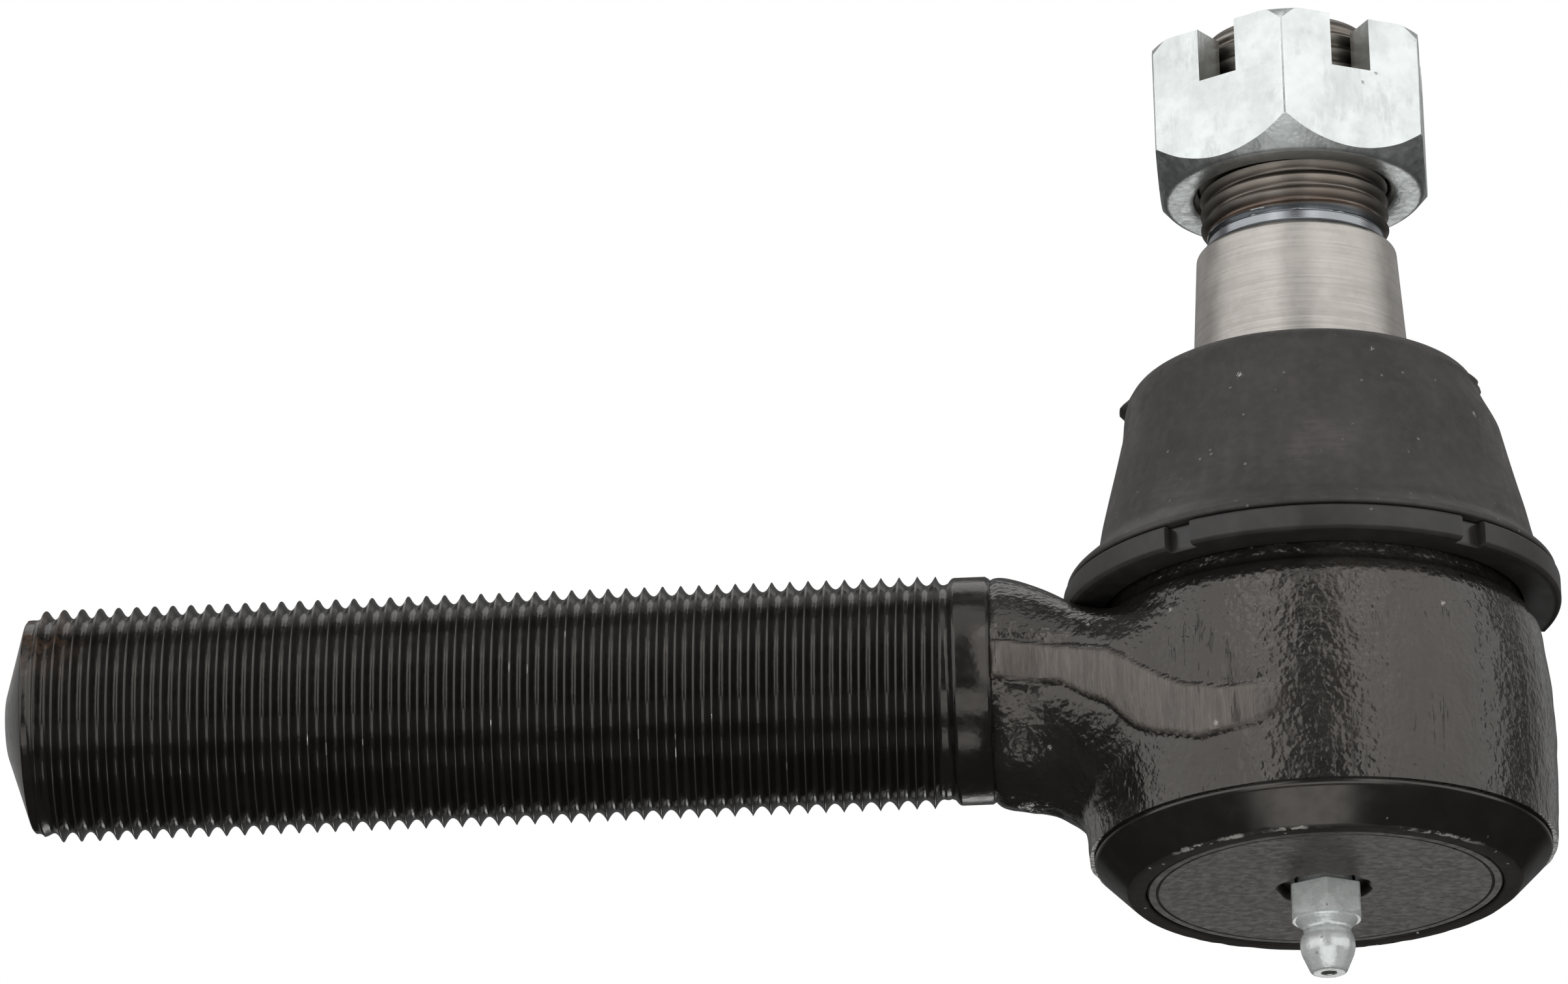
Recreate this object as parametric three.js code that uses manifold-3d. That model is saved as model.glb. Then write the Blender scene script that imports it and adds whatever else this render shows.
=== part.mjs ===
// Tie rod end with a male threaded shank, a tapered ball stud, a slotted nut, a rubber dust boot
// and a spring-loaded ball seat behind a spun-in closure plate with a grease fitting.
// Millimetres. The origin is the centre of the ball. +Z runs up the stud, -X runs out along the shank.
import * as THREE from "three";
import { mergeVertices } from "three/addons/utils/BufferGeometryUtils.js";
import Module from "manifold-3d";

const wasm = await Module();
wasm.setup();

// ---------------------------------------------------------------- driving dimensions
const GAP = 0.3; // kept between pieces that touch on the real object
const MERGE = 1e-4;
const ROUND = 44; // sides of the large round pieces
const SMALL_ROUND = 28;

const BALL_R = 17;
const BALL_FLAT_Z = -13.5;
const SEAT_R = BALL_R + GAP;

const SHANK_TIP_X = -152.4;
const SHANK_CONE_LENGTH = 3.0;
const SHANK_TIP_R = 3.5;
const SHANK_CONE_R = 12.75;
const SHANK_THREAD_R = 13.5; // 1 1/16 inch major diameter, 12 turns to the inch
const SHANK_THREAD_END_X = -42.6;
const COLLAR_R = 13.25;
const COLLAR_END_X = -37.2;

const SOCKET_TOP_Z = 5.7;
const SOCKET_BOTTOM_Z = -25.9;
const SOCKET_R = 27.5;
const BORE_R = 20.9;
const BORE_TOP_Z = 9.0;
const BOSS_R = 24.3;
const BOSS_TOP_Z = 12.6;
const MOUTH_LOW_R = 15.9;
const MOUTH_HIGH_R = 18.6;
const PLATE_POCKET_R = 22.3;
const PLATE_POCKET_Z = -21.2;
const CRIMP_INNER_R = 20.6;
const CRIMP_UNDER_Z = -24.6;

const BAND_R = 28.9;
const BAND_LOW_Z = 7.8;
const BAND_HIGH_Z = 10.8;
const BAND_NOTCHES = 5;
const BAND_NOTCH_WIDTH = 3.4;
const BAND_NOTCH_DEPTH = 1.5;
const BAND_NOTCH_FIRST = -50.4; // degrees about +Z from +X

const TAPER_TOP_Z = 52.0;
const TAPER_TOP_R = 11.83;
const TAPER_LOW_Z = 33.0;
const TAPER_PER_SIDE = 0.0625; // 1.5 inches to the foot on the diameter
const NECK_R = 9.6;
const STUD_THREAD_R = 11.1; // 7/8 inch major diameter, 14 turns to the inch
const STUD_RELIEF_R = 10.4;
const STUD_THREAD_START_Z = 54.7;
const STUD_TOP_Z = 79.8;
const PIN_HOLE_R = 2.0;
const PIN_HOLE_Z = 73.6;

const NUT_FLATS = 31.4;
const NUT_LOW_Z = 60.1;
const NUT_HIGH_Z = 77.4;
const NUT_BORE_R = STUD_THREAD_R + GAP;
const NUT_SLOTS = 6;
const NUT_SLOT_WIDTH = 5.1;
const NUT_SLOT_Z = 70.8;
const NUT_TURN = -2.8; // degrees from having a corner straight towards -Y

const PLATE_R = 22.0;
const PLATE_FACE_R = 20.3;
const PLATE_HIGH_Z = -22.6;
const PLATE_RIM_Z = -24.3;
const PLATE_FACE_Z = -25.7;
const FITTING_HEX_FLATS = 7.94; // 5/16 inch hexagon
const FITTING_HEX_LOW_Z = -29.6;
const FITTING_TIP_Z = -35.9;
const FITTING_THREAD_R = 3.2; // 1/4 inch thread
const CHECK_BALL_R = 1.15;

const SPRING_WIRE_R = 1.3;
const SPRING_R = 15.4;
const SPRING_TURNS = 1.85;

// ---------------------------------------------------------------- shaping helpers
const taperRadius = (z) => TAPER_TOP_R + (TAPER_TOP_Z - z) * TAPER_PER_SIDE;

// Points on an arc of a circle centred on the axis, between two heights, as [radius, height] pairs.
function sphereArc(radius, fromZ, toZ, steps) {
  const first = Math.asin(fromZ / radius);
  const last = Math.asin(toZ / radius);
  return Array.from({ length: steps + 1 }, (_, i) => {
    const angle = first + ((last - first) * i) / steps;
    return [radius * Math.cos(angle), radius * Math.sin(angle)];
  });
}

// Revolves a closed outline of [radius, height] pairs about +Z, facing outwards.
function revolve(outline, sides = ROUND) {
  const area = outline.reduce((sum, [r, z], i) => {
    const [nextR, nextZ] = outline[(i + 1) % outline.length];
    return sum + r * nextZ - nextR * z;
  }, 0);
  const ordered = area > 0 ? outline : [...outline].reverse();
  const points = [...ordered, ordered[0]].map(([r, z]) => new THREE.Vector2(r, z));
  return new THREE.LatheGeometry(points, sides).rotateX(Math.PI / 2);
}

function solidOf(geometry) {
  const bare = geometry.index ? geometry.toNonIndexed() : geometry.clone();
  bare.deleteAttribute("normal");
  bare.deleteAttribute("uv");
  const merged = mergeVertices(bare, MERGE);
  return new wasm.Manifold(
    new wasm.Mesh({
      numProp: 3,
      vertProperties: merged.attributes.position.array,
      triVerts: new Uint32Array(merged.index.array),
    }),
  );
}

function geometryOf(solid) {
  const { vertProperties, triVerts } = solid.getMesh();
  const geometry = new THREE.BufferGeometry();
  geometry.setAttribute("position", new THREE.BufferAttribute(vertProperties, 3));
  geometry.setIndex(new THREE.BufferAttribute(triVerts, 1));
  const faceted = geometry.toNonIndexed();
  faceted.computeVertexNormals();
  return faceted;
}

const cut = (geometry, ...tools) =>
  geometryOf(tools.reduce((solid, tool) => solid.subtract(solidOf(tool)), solidOf(geometry)));

// A hexagonal prism about +Z with a corner facing -Y.
function hexagon(acrossFlats, lowZ, highZ) {
  const corner = acrossFlats / 2 / Math.cos(Math.PI / 6);
  const corners = Array.from({ length: 6 }, (_, i) => {
    const angle = (i / 6) * 2 * Math.PI - Math.PI / 2;
    return new THREE.Vector2(corner * Math.cos(angle), corner * Math.sin(angle));
  });
  const depth = highZ - lowZ;
  const prism = new THREE.ExtrudeGeometry(new THREE.Shape(corners), { depth, bevelEnabled: false });
  return prism.translate(0, 0, lowZ);
}

class Helix extends THREE.Curve {
  constructor(radius, turns, lowZ, highZ) {
    super();
    Object.assign(this, { radius, turns, lowZ, highZ });
  }
  getPoint(t) {
    const angle = t * this.turns * 2 * Math.PI;
    const z = THREE.MathUtils.lerp(this.lowZ, this.highZ, t);
    return new THREE.Vector3(this.radius * Math.cos(angle), this.radius * Math.sin(angle), z);
  }
}

function coil(radius, wireRadius, turns, lowZ, highZ, wireSides, steps) {
  const section = Array.from({ length: wireSides }, (_, i) => {
    const angle = (i / wireSides) * 2 * Math.PI;
    return new THREE.Vector2(wireRadius * Math.cos(angle), wireRadius * Math.sin(angle));
  });
  const extrudePath = new Helix(radius, turns, lowZ, highZ);
  return new THREE.ExtrudeGeometry(new THREE.Shape(section), { extrudePath, steps });
}

// ---------------------------------------------------------------- the forged socket and shank
// The forged neck's sections from the collar into the socket: x, top, bottom and half width.
const NECK_SECTIONS = [
  [-38.2, 12.4, -12.4, 12.4],
  [-36.8, 13.4, -14.2, 13.5],
  [-33.0, 11.7, -14.6, 13.3],
  [-30.0, 9.4, -15.2, 13.6],
  [-27.0, 6.6, -17.0, 15.0],
  [-22.0, 4.8, -19.2, 18.6],
];

function neck() {
  const rows = NECK_SECTIONS.length - 1;
  const tube = new THREE.CylinderGeometry(1, 1, 1, SMALL_ROUND, rows);
  const place = tube.attributes.position;
  for (let i = 0; i < place.count; i++) {
    const row = Math.round((place.getY(i) + 0.5) * rows);
    const [x, top, bottom, halfWidth] = NECK_SECTIONS[row];
    const z = (top + bottom) / 2 + (place.getX(i) * (top - bottom)) / 2;
    place.setXYZ(i, x, place.getZ(i) * halfWidth, z);
  }
  return tube;
}

function socketForging() {
  const socket = revolve([
    [0, SOCKET_BOTTOM_Z],
    [22.4, SOCKET_BOTTOM_Z],
    [26.2, -22.1],
    [26.4, -21.5],
    [27.0, -21.1],
    [27.35, -14],
    [SOCKET_R, -8],
    [27.2, -2.6],
    [26.8, 0.7],
    [26.35, 3.9],
    [25.4, SOCKET_TOP_Z],
    [BOSS_R, SOCKET_TOP_Z],
    [BOSS_R, BOSS_TOP_Z - 0.6],
    [BOSS_R - 0.6, BOSS_TOP_Z],
    [0, BOSS_TOP_Z],
  ]);
  const shank = revolve(
    [
      [0, SHANK_TIP_X],
      [SHANK_TIP_R, SHANK_TIP_X],
      [SHANK_CONE_R, SHANK_TIP_X + SHANK_CONE_LENGTH],
      [SHANK_THREAD_R, SHANK_TIP_X + SHANK_CONE_LENGTH + 0.8],
      [SHANK_THREAD_R, SHANK_THREAD_END_X],
      [12.6, SHANK_THREAD_END_X + 0.4],
      [COLLAR_R, SHANK_THREAD_END_X + 1.0],
      [COLLAR_R, COLLAR_END_X],
      [0, COLLAR_END_X],
    ],
    32,
  ).rotateY(Math.PI / 2);
  const bore = revolve([
    [0, SOCKET_BOTTOM_Z - 1],
    [CRIMP_INNER_R, SOCKET_BOTTOM_Z - 1],
    [CRIMP_INNER_R, CRIMP_UNDER_Z],
    [PLATE_POCKET_R, CRIMP_UNDER_Z],
    [PLATE_POCKET_R, PLATE_POCKET_Z],
    [BORE_R, PLATE_POCKET_Z],
    [BORE_R, BORE_TOP_Z],
    [MOUTH_LOW_R, BORE_TOP_Z],
    [MOUTH_HIGH_R, BOSS_TOP_Z],
    [MOUTH_HIGH_R, BOSS_TOP_Z + 1],
    [0, BOSS_TOP_Z + 1],
  ]);
  const bandSpace = revolve([
    [BOSS_R, BAND_LOW_Z - 2 * GAP],
    [BAND_R + 2 * GAP, BAND_LOW_Z - 2 * GAP],
    [BAND_R + 2 * GAP, BOSS_TOP_Z + 3],
    [BOSS_R, BOSS_TOP_Z + 3],
  ]);
  const body = solidOf(socket).add(solidOf(neck())).add(solidOf(shank));
  return geometryOf(body.subtract(solidOf(bore)).subtract(solidOf(bandSpace)));
}

// ---------------------------------------------------------------- inside the socket
const upperBearing = () =>
  revolve([
    ...sphereArc(SEAT_R, GAP, BORE_TOP_Z - GAP, 6),
    [BORE_R - GAP, BORE_TOP_Z - GAP],
    [BORE_R - GAP, GAP],
  ]);

const SEAT_LOW_Z = -15.6;
const lowerBearing = () =>
  revolve([
    ...sphereArc(SEAT_R, -12.9, -GAP, 7),
    [BORE_R - GAP, -GAP],
    [BORE_R - GAP, SEAT_LOW_Z],
    [9.6, SEAT_LOW_Z],
  ]);

const preloadSpring = () => {
  const low = PLATE_HIGH_Z + GAP + SPRING_WIRE_R;
  const high = SEAT_LOW_Z - GAP - SPRING_WIRE_R;
  return coil(SPRING_R, SPRING_WIRE_R, SPRING_TURNS, low, high, 8, 44);
};

const closureGasket = () =>
  revolve([
    [19.6, PLATE_HIGH_Z + GAP],
    [PLATE_R, PLATE_HIGH_Z + GAP],
    [PLATE_R, PLATE_POCKET_Z - GAP],
    [19.6, PLATE_POCKET_Z - GAP],
  ]);

const closurePlate = () =>
  revolve([
    [FITTING_THREAD_R + GAP, PLATE_HIGH_Z],
    [PLATE_R, PLATE_HIGH_Z],
    [PLATE_R, PLATE_RIM_Z],
    [PLATE_FACE_R, PLATE_RIM_Z],
    [PLATE_FACE_R, PLATE_FACE_Z],
    [5.2, PLATE_FACE_Z],
    [4.9, -24.6],
    [FITTING_THREAD_R + GAP, -24.6],
  ]);

// ---------------------------------------------------------------- the grease fitting
const FITTING_HEX_TOP_Z = -24.9;
const CHECK_BALL_Z = -34.95;
function greaseFitting() {
  const hex = solidOf(hexagon(FITTING_HEX_FLATS, FITTING_HEX_LOW_Z, FITTING_HEX_TOP_Z));
  const hexChamfer = revolve(
    [
      [0, FITTING_HEX_LOW_Z],
      [3.9, FITTING_HEX_LOW_Z],
      [4.7, FITTING_HEX_LOW_Z + 0.6],
      [4.7, FITTING_HEX_TOP_Z + 1],
      [0, FITTING_HEX_TOP_Z + 1],
    ],
    SMALL_ROUND,
  );
  const round = revolve(
    [
      [0, FITTING_TIP_Z],
      [2.25, FITTING_TIP_Z],
      [3.0, -34.2],
      [3.15, -33.3],
      [2.9, -32.5],
      [2.4, -31.6],
      [2.45, -30.6],
      [3.5, -29.9],
      [3.7, FITTING_HEX_LOW_Z + 0.3],
      [FITTING_THREAD_R, FITTING_HEX_TOP_Z - 0.3],
      [FITTING_THREAD_R, -20.6],
      [0, -20.6],
    ],
    SMALL_ROUND,
  );
  const passage = revolve(
    [
      [0, FITTING_TIP_Z - 1],
      [0.95, FITTING_TIP_Z - 1],
      [0.95, FITTING_TIP_Z + 0.1],
      [1.4, FITTING_TIP_Z + 0.9],
      [1.4, -31.0],
      [1.0, -30.6],
      [1.0, -19.6],
      [0, -19.6],
    ],
    16,
  );
  const body = hex.intersect(solidOf(hexChamfer)).add(solidOf(round));
  return geometryOf(body.subtract(solidOf(passage)));
}

const checkBall = () => new THREE.SphereGeometry(CHECK_BALL_R, 14, 10).translate(0, 0, CHECK_BALL_Z);

const checkSpring = () => coil(0.95, 0.2, 3, CHECK_BALL_Z + CHECK_BALL_R + 0.4, -31.3, 5, 30);

// ---------------------------------------------------------------- the boot and its two rings
function bootRetainingBand() {
  const ring = revolve([
    [BOSS_R + GAP, BAND_LOW_Z],
    [BAND_R - 0.3, BAND_LOW_Z],
    [BAND_R, BAND_LOW_Z + 0.3],
    [BAND_R, BAND_HIGH_Z],
    [BOSS_R + GAP, BAND_HIGH_Z],
  ]);
  const notches = Array.from({ length: BAND_NOTCHES }, (_, i) => {
    const angle = THREE.MathUtils.degToRad(BAND_NOTCH_FIRST + (360 / BAND_NOTCHES) * i);
    return new THREE.BoxGeometry(2 * BAND_NOTCH_DEPTH, BAND_NOTCH_WIDTH, 10)
      .translate(BAND_R, 0, BAND_LOW_Z)
      .rotateZ(angle);
  });
  return cut(ring, ...notches);
}

const NECK_RING_LOW_Z = 34.6;
const NECK_RING_HIGH_Z = 36.6;
const dustBoot = () =>
  revolve([
    [BOSS_R + GAP, BAND_HIGH_Z + GAP],
    [28.5, BAND_HIGH_Z + GAP],
    [28.5, 11.8],
    [27.2, 13.0],
    [25.8, 14.1],
    [25.3, 16.0],
    [24.9, 18.2],
    [23.0, 25.6],
    [22.3, 28.6],
    [21.6, 30.8],
    [20.9, 33.2],
    [20.5, 34.4],
    [19.9, 35.4],
    [18.8, 36.2],
    [16.5, 37.0],
    [13.6, 37.9],
    [13.15, 37.9],
    [13.15, NECK_RING_HIGH_Z + GAP],
    [14.8, NECK_RING_HIGH_Z + GAP],
    [14.8, NECK_RING_LOW_Z - GAP],
    [13.4, NECK_RING_LOW_Z - GAP],
    [13.4, 33.4],
    [15.2, 33.2],
    [18.6, 32.0],
    [19.7, 29.5],
    [20.9, 25.0],
    [22.7, 18.0],
    [23.6, 15.2],
    [BOSS_R + GAP, 13.6],
  ]);

const bootNeckRing = () =>
  revolve(
    [
      [taperRadius(NECK_RING_LOW_Z) + GAP, NECK_RING_LOW_Z],
      [14.5, NECK_RING_LOW_Z],
      [14.5, NECK_RING_HIGH_Z],
      [taperRadius(NECK_RING_LOW_Z) + GAP, NECK_RING_HIGH_Z],
    ],
    SMALL_ROUND,
  );

// ---------------------------------------------------------------- the ball stud and its nut
function ballStud() {
  const blank = revolve(
    [
      [0, BALL_FLAT_Z],
      ...sphereArc(BALL_R, BALL_FLAT_Z, Math.sqrt(BALL_R ** 2 - NECK_R ** 2), 12),
      [9.8, 17],
      [10.8, 23],
      [12.5, 30],
      [taperRadius(TAPER_LOW_Z), TAPER_LOW_Z],
      [TAPER_TOP_R, TAPER_TOP_Z],
      [11.2, 52.9],
      [STUD_RELIEF_R, 53.1],
      [STUD_RELIEF_R, STUD_THREAD_START_Z],
      [STUD_THREAD_R, STUD_THREAD_START_Z + 0.7],
      [STUD_THREAD_R, STUD_TOP_Z - 0.9],
      [STUD_THREAD_R - 0.9, STUD_TOP_Z],
      [1.6, STUD_TOP_Z],
      [0, STUD_TOP_Z - 1.6],
    ],
    40,
  );
  const length = 3 * STUD_THREAD_R;
  const pinHole = new THREE.CylinderGeometry(PIN_HOLE_R, PIN_HOLE_R, length, 12)
    .rotateZ(Math.PI / 2)
    .translate(0, 0, PIN_HOLE_Z);
  return cut(blank, pinHole);
}

function slottedNut() {
  const chamfered = revolve([
    [0, NUT_LOW_Z],
    [15.2, NUT_LOW_Z],
    [18.4, NUT_LOW_Z + 4.1],
    [18.4, NUT_HIGH_Z - 2.2],
    [17.2, NUT_HIGH_Z],
    [0, NUT_HIGH_Z],
  ]);
  const bore = revolve([
    [0, NUT_LOW_Z - 1],
    [NUT_BORE_R + 2, NUT_LOW_Z - 1],
    [NUT_BORE_R, NUT_LOW_Z + 1],
    [NUT_BORE_R, NUT_HIGH_Z + 1],
    [0, NUT_HIGH_Z + 1],
  ]);
  const slotHeight = NUT_HIGH_Z + 1 - NUT_SLOT_Z;
  const slots = Array.from({ length: NUT_SLOTS / 2 }, (_, i) =>
    new THREE.BoxGeometry(2 * NUT_FLATS, NUT_SLOT_WIDTH, slotHeight)
      .translate(0, 0, NUT_SLOT_Z + slotHeight / 2)
      .rotateZ((i * 2 * Math.PI) / NUT_SLOTS),
  );
  const prism = solidOf(hexagon(NUT_FLATS, NUT_LOW_Z, NUT_HIGH_Z));
  const nut = cut(geometryOf(prism.intersect(solidOf(chamfered))), bore, ...slots);
  return nut.rotateZ(THREE.MathUtils.degToRad(NUT_TURN));
}

// ---------------------------------------------------------------- the assembly
const finish = (color, roughness, metalness) =>
  new THREE.MeshStandardMaterial({ color, roughness, metalness });

const PIECES = [
  ["socket_forging", socketForging, finish(0x1d1a18, 0.3, 0.3)],
  ["upper_bearing", upperBearing, finish(0x6b6a66, 0.4, 0.9)],
  ["lower_bearing", lowerBearing, finish(0x5f5e5a, 0.4, 0.9)],
  ["preload_spring", preloadSpring, finish(0x47474a, 0.35, 0.9)],
  ["closure_gasket", closureGasket, finish(0x151515, 0.8, 0)],
  ["closure_plate", closurePlate, finish(0x4c4845, 0.5, 0.5)],
  ["grease_fitting", greaseFitting, finish(0xb4bab9, 0.3, 1)],
  ["grease_fitting_ball", checkBall, finish(0xc8cac8, 0.15, 1)],
  ["grease_fitting_spring", checkSpring, finish(0xa0a0a0, 0.3, 1)],
  ["boot_retaining_band", bootRetainingBand, finish(0x2b2928, 0.45, 0)],
  ["dust_boot", dustBoot, finish(0x403d3c, 0.8, 0)],
  ["boot_neck_ring", bootNeckRing, finish(0x8c8c88, 0.4, 0.9)],
  ["ball_stud", ballStud, finish(0x8f8a85, 0.35, 1)],
  ["slotted_nut", slottedNut, finish(0xe0e6e4, 0.3, 0.8)],
];

const tieRodEnd = new THREE.Group();
for (const [name, shape, material] of PIECES) {
  const piece = new THREE.Mesh(shape(), material);
  piece.name = name;
  tieRodEnd.add(piece);
}

export default tieRodEnd;
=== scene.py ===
"""Tie rod end: the detailed pieces, their finishes and the studio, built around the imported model."""

import math

import bmesh
import bpy
import numpy as np
from mathutils import Matrix, Vector, noise


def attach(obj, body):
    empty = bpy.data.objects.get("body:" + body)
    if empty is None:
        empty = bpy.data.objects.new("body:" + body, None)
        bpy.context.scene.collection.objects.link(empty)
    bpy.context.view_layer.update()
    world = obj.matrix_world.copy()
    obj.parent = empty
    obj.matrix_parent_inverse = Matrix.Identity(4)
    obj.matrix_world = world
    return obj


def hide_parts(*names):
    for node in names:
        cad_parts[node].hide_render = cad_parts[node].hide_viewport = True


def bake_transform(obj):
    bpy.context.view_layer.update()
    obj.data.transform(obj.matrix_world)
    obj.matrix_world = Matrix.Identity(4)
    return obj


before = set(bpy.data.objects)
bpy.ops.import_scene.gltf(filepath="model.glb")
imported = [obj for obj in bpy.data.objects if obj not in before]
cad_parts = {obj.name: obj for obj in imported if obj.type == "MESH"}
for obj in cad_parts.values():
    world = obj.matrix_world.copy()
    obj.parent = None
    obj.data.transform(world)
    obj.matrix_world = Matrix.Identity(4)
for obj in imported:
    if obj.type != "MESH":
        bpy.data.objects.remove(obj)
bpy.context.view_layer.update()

bl_info = {
    "name": "Tie Rod End",
    "version": (1, 0, 0),
    "blender": (4, 5, 0),
    "location": "View3D > Sidebar > Tie Rod",
    "description": "Builds a tie rod end's forging, boot, stud, nut and closure around its packed model",
    "category": "Add Mesh",
}

MM = 0.001
INCH = 25.4  # in millimetres
AROUND = 120  # sides of the large round pieces
FINE = 64  # sides of the small round pieces
TURN = 2 * math.pi
SHARP = math.radians(34)  # edges bent more than this are shaded sharp


# ------------------------------------------------------------------ sizes and colours a user may change
def length_setting(name, description, millimetres, least=0.0):
    return bpy.props.FloatProperty(
        name=name, description=description, default=millimetres * MM, min=least * MM,
        unit="LENGTH", precision=5)


def colour_setting(name, description, red, green, blue):
    return bpy.props.FloatVectorProperty(
        name=name, description=description, default=(red, green, blue), min=0, max=1, size=3,
        subtype="COLOR")


class ThreadSizes(bpy.types.PropertyGroup):
    """The two screw threads."""

    shank_major: length_setting("Shank radius", "Crest radius of the shank's thread", 13.55, 1)
    shank_minor: length_setting("Shank root radius", "Root radius of the shank's thread", 12.45, 1)
    shank_pitch: length_setting("Shank pitch", "Twelve turns to the inch", INCH / 12, 0.5)
    stud_major: length_setting("Stud radius", "Crest radius of the stud's thread", 11.1, 1)
    stud_minor: length_setting("Stud root radius", "Root radius of the stud's thread", 10.15, 1)
    stud_pitch: length_setting("Stud pitch", "Fourteen turns to the inch", INCH / 14, 0.5)


class ForgingSizes(bpy.types.PropertyGroup):
    """The forged socket's surface."""

    voxel: length_setting("Surface step", "Spacing of the forging's surface points", 0.42, 0.2)
    dents: length_setting("Dent depth", "Depth of the hammered dents in the forged skin", 0.11)
    land: length_setting("Trim land height", "How far the trimmed parting land stands proud", 0.42)
    paint: colour_setting("Paint", "Colour of the black paint", 0.0098, 0.0088, 0.0080)


class BootSizes(bpy.types.PropertyGroup):
    """The rubber boot."""

    flash: length_setting("Mould flash", "Greatest width of the torn flash on the shoulder", 0.95)
    lean: length_setting("Lean", "How far the boot's wall sits to one side", 0.65)
    rubber: colour_setting("Rubber", "Colour of the boot", 0.047, 0.042, 0.040)


class NutSizes(bpy.types.PropertyGroup):
    """The slotted nut."""

    flats: length_setting("Across flats", "Width of the nut across its flats", 31.4, 5)
    slot: length_setting("Slot width", "Width of each slot", 5.1, 1)
    plating: colour_setting("Plating", "Colour of the zinc plating", 0.80, 0.84, 0.83)


class StudioSettings(bpy.types.PropertyGroup):
    """The floor, the light and the lens."""

    floor_drop: length_setting("Floor drop", "How far the floor lies under the ball's centre", 620, 50)
    lens: bpy.props.FloatProperty(
        name="Lens", description="Focal length on a 36 mm wide sensor",
        default=209.2, min=20, unit="CAMERA")
    tent: bpy.props.FloatProperty(
        name="Tent light", description="Brightness of the white studio tent", default=1.0, min=0)


SETTINGS = {
    "tie_rod_threads": ThreadSizes,
    "tie_rod_forging": ForgingSizes,
    "tie_rod_boot": BootSizes,
    "tie_rod_nut": NutSizes,
    "tie_rod_studio": StudioSettings,
}


# ------------------------------------------------------------------ mesh helpers
def smoothstep(low, high, value):
    t = np.clip((value - low) / (high - low), 0, 1)
    return t * t * (3 - 2 * t)


def ring_noise(angles, spread, third):
    """Noise at each angle about the axis. third is one number, or a number for each angle."""
    angles, third = np.broadcast_arrays(angles, third)
    values = [noise.noise(Vector((math.cos(a) * spread, math.sin(a) * spread, t)))
              for a, t in zip(angles.ravel(), third.ravel())]
    return np.array(values).reshape(angles.shape)


def softened(outline, steps=5):
    """An outline of (radius, height) points in millimetres. A third number rounds that corner."""
    points = []
    for i, (r, z, *fillet) in enumerate(outline):
        here = np.array((r, z), float)
        if not fillet:
            points.append(here)
            continue
        before = np.array(outline[i - 1][:2], float) - here
        after = np.array(outline[(i + 1) % len(outline)][:2], float) - here
        start = here + before * min(fillet[0] / np.linalg.norm(before), 0.5)
        end = here + after * min(fillet[0] / np.linalg.norm(after), 0.5)
        for t in np.linspace(0, 1, steps):
            points.append((1 - t) ** 2 * start + 2 * t * (1 - t) * here + t * t * end)
    return points


def arc(radius, low, high, steps):
    """Points of a sphere's outline about the origin, between two heights."""
    angles = np.linspace(math.asin(low / radius), math.asin(high / radius), steps)
    return [(radius * math.cos(a), radius * math.sin(a)) for a in angles]


def closed_mesh(name, vertices, faces):
    mesh = bpy.data.meshes.new(name)
    mesh.from_pydata([tuple(v) for v in vertices], [], faces)
    form = bmesh.new()
    form.from_mesh(mesh)
    bmesh.ops.remove_doubles(form, verts=form.verts, dist=1e-7)
    bmesh.ops.recalc_face_normals(form, faces=form.faces)
    form.to_mesh(mesh)
    form.free()
    return mesh


def revolved(name, outline, sides=AROUND, ends_open=False, shape=None):
    """Turns an outline in millimetres about +Z. shape(angles, radii, heights) may move its points."""
    points = np.array(softened(outline)) * MM
    count = len(points)
    angles = np.arange(sides) / sides * TURN
    radii = np.repeat(points[:, :1], sides, 1)
    heights = np.repeat(points[:, 1:], sides, 1)
    if shape:
        radii, heights = shape(np.repeat(angles[None], count, 0), radii, heights)
    place = np.stack([radii * np.cos(angles), radii * np.sin(angles), heights], -1)
    rows = range(count - 1) if ends_open else range(count)
    faces = []
    for i in rows:
        j = (i + 1) % count
        if points[i, 0] < 1e-9 and points[j, 0] < 1e-9:
            continue
        for k in range(sides):
            m = (k + 1) % sides
            corners = [i * sides + k, i * sides + m, j * sides + m, j * sides + k]
            if points[i, 0] < 1e-9:
                corners.pop(1)
            elif points[j, 0] < 1e-9:
                corners.pop(2)
            faces.append(corners)
    return closed_mesh(name, place.reshape(-1, 3), faces)


def piece(name, mesh):
    obj = bpy.data.objects.new(name, mesh)
    bpy.context.scene.collection.objects.link(obj)
    return obj


def applied(obj):
    """The object with its modifiers made into a plain mesh."""
    bpy.context.view_layer.update()
    depsgraph = bpy.context.evaluated_depsgraph_get()
    old = obj.data
    obj.data = bpy.data.meshes.new_from_object(obj.evaluated_get(depsgraph))
    obj.data.name = obj.name
    obj.modifiers.clear()
    bpy.data.meshes.remove(old)
    return obj


def merged(meshes, name, weld=2e-6):
    """One mesh of several, with the points that meet welded."""
    form = bmesh.new()
    for mesh in meshes:
        form.from_mesh(mesh)
    bmesh.ops.remove_doubles(form, verts=form.verts, dist=weld)
    bmesh.ops.recalc_face_normals(form, faces=form.faces)
    mesh = bpy.data.meshes.new(name)
    form.to_mesh(mesh)
    form.free()
    return mesh


def carved(obj, tool, operation="DIFFERENCE"):
    """Cuts the tool's mesh out of the object, or joins it on."""
    cutter = piece("carving_tool", tool)
    change = obj.modifiers.new("Carve", "BOOLEAN")
    change.operation, change.object, change.solver = operation, cutter, "EXACT"
    applied(obj)
    bpy.data.objects.remove(cutter)
    return obj


def bevelled(obj, width, segments=2):
    edge = obj.modifiers.new("Soft edges", "BEVEL")
    edge.width, edge.segments, edge.limit_method = width, segments, "ANGLE"
    edge.angle_limit = SHARP
    return applied(obj)


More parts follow.
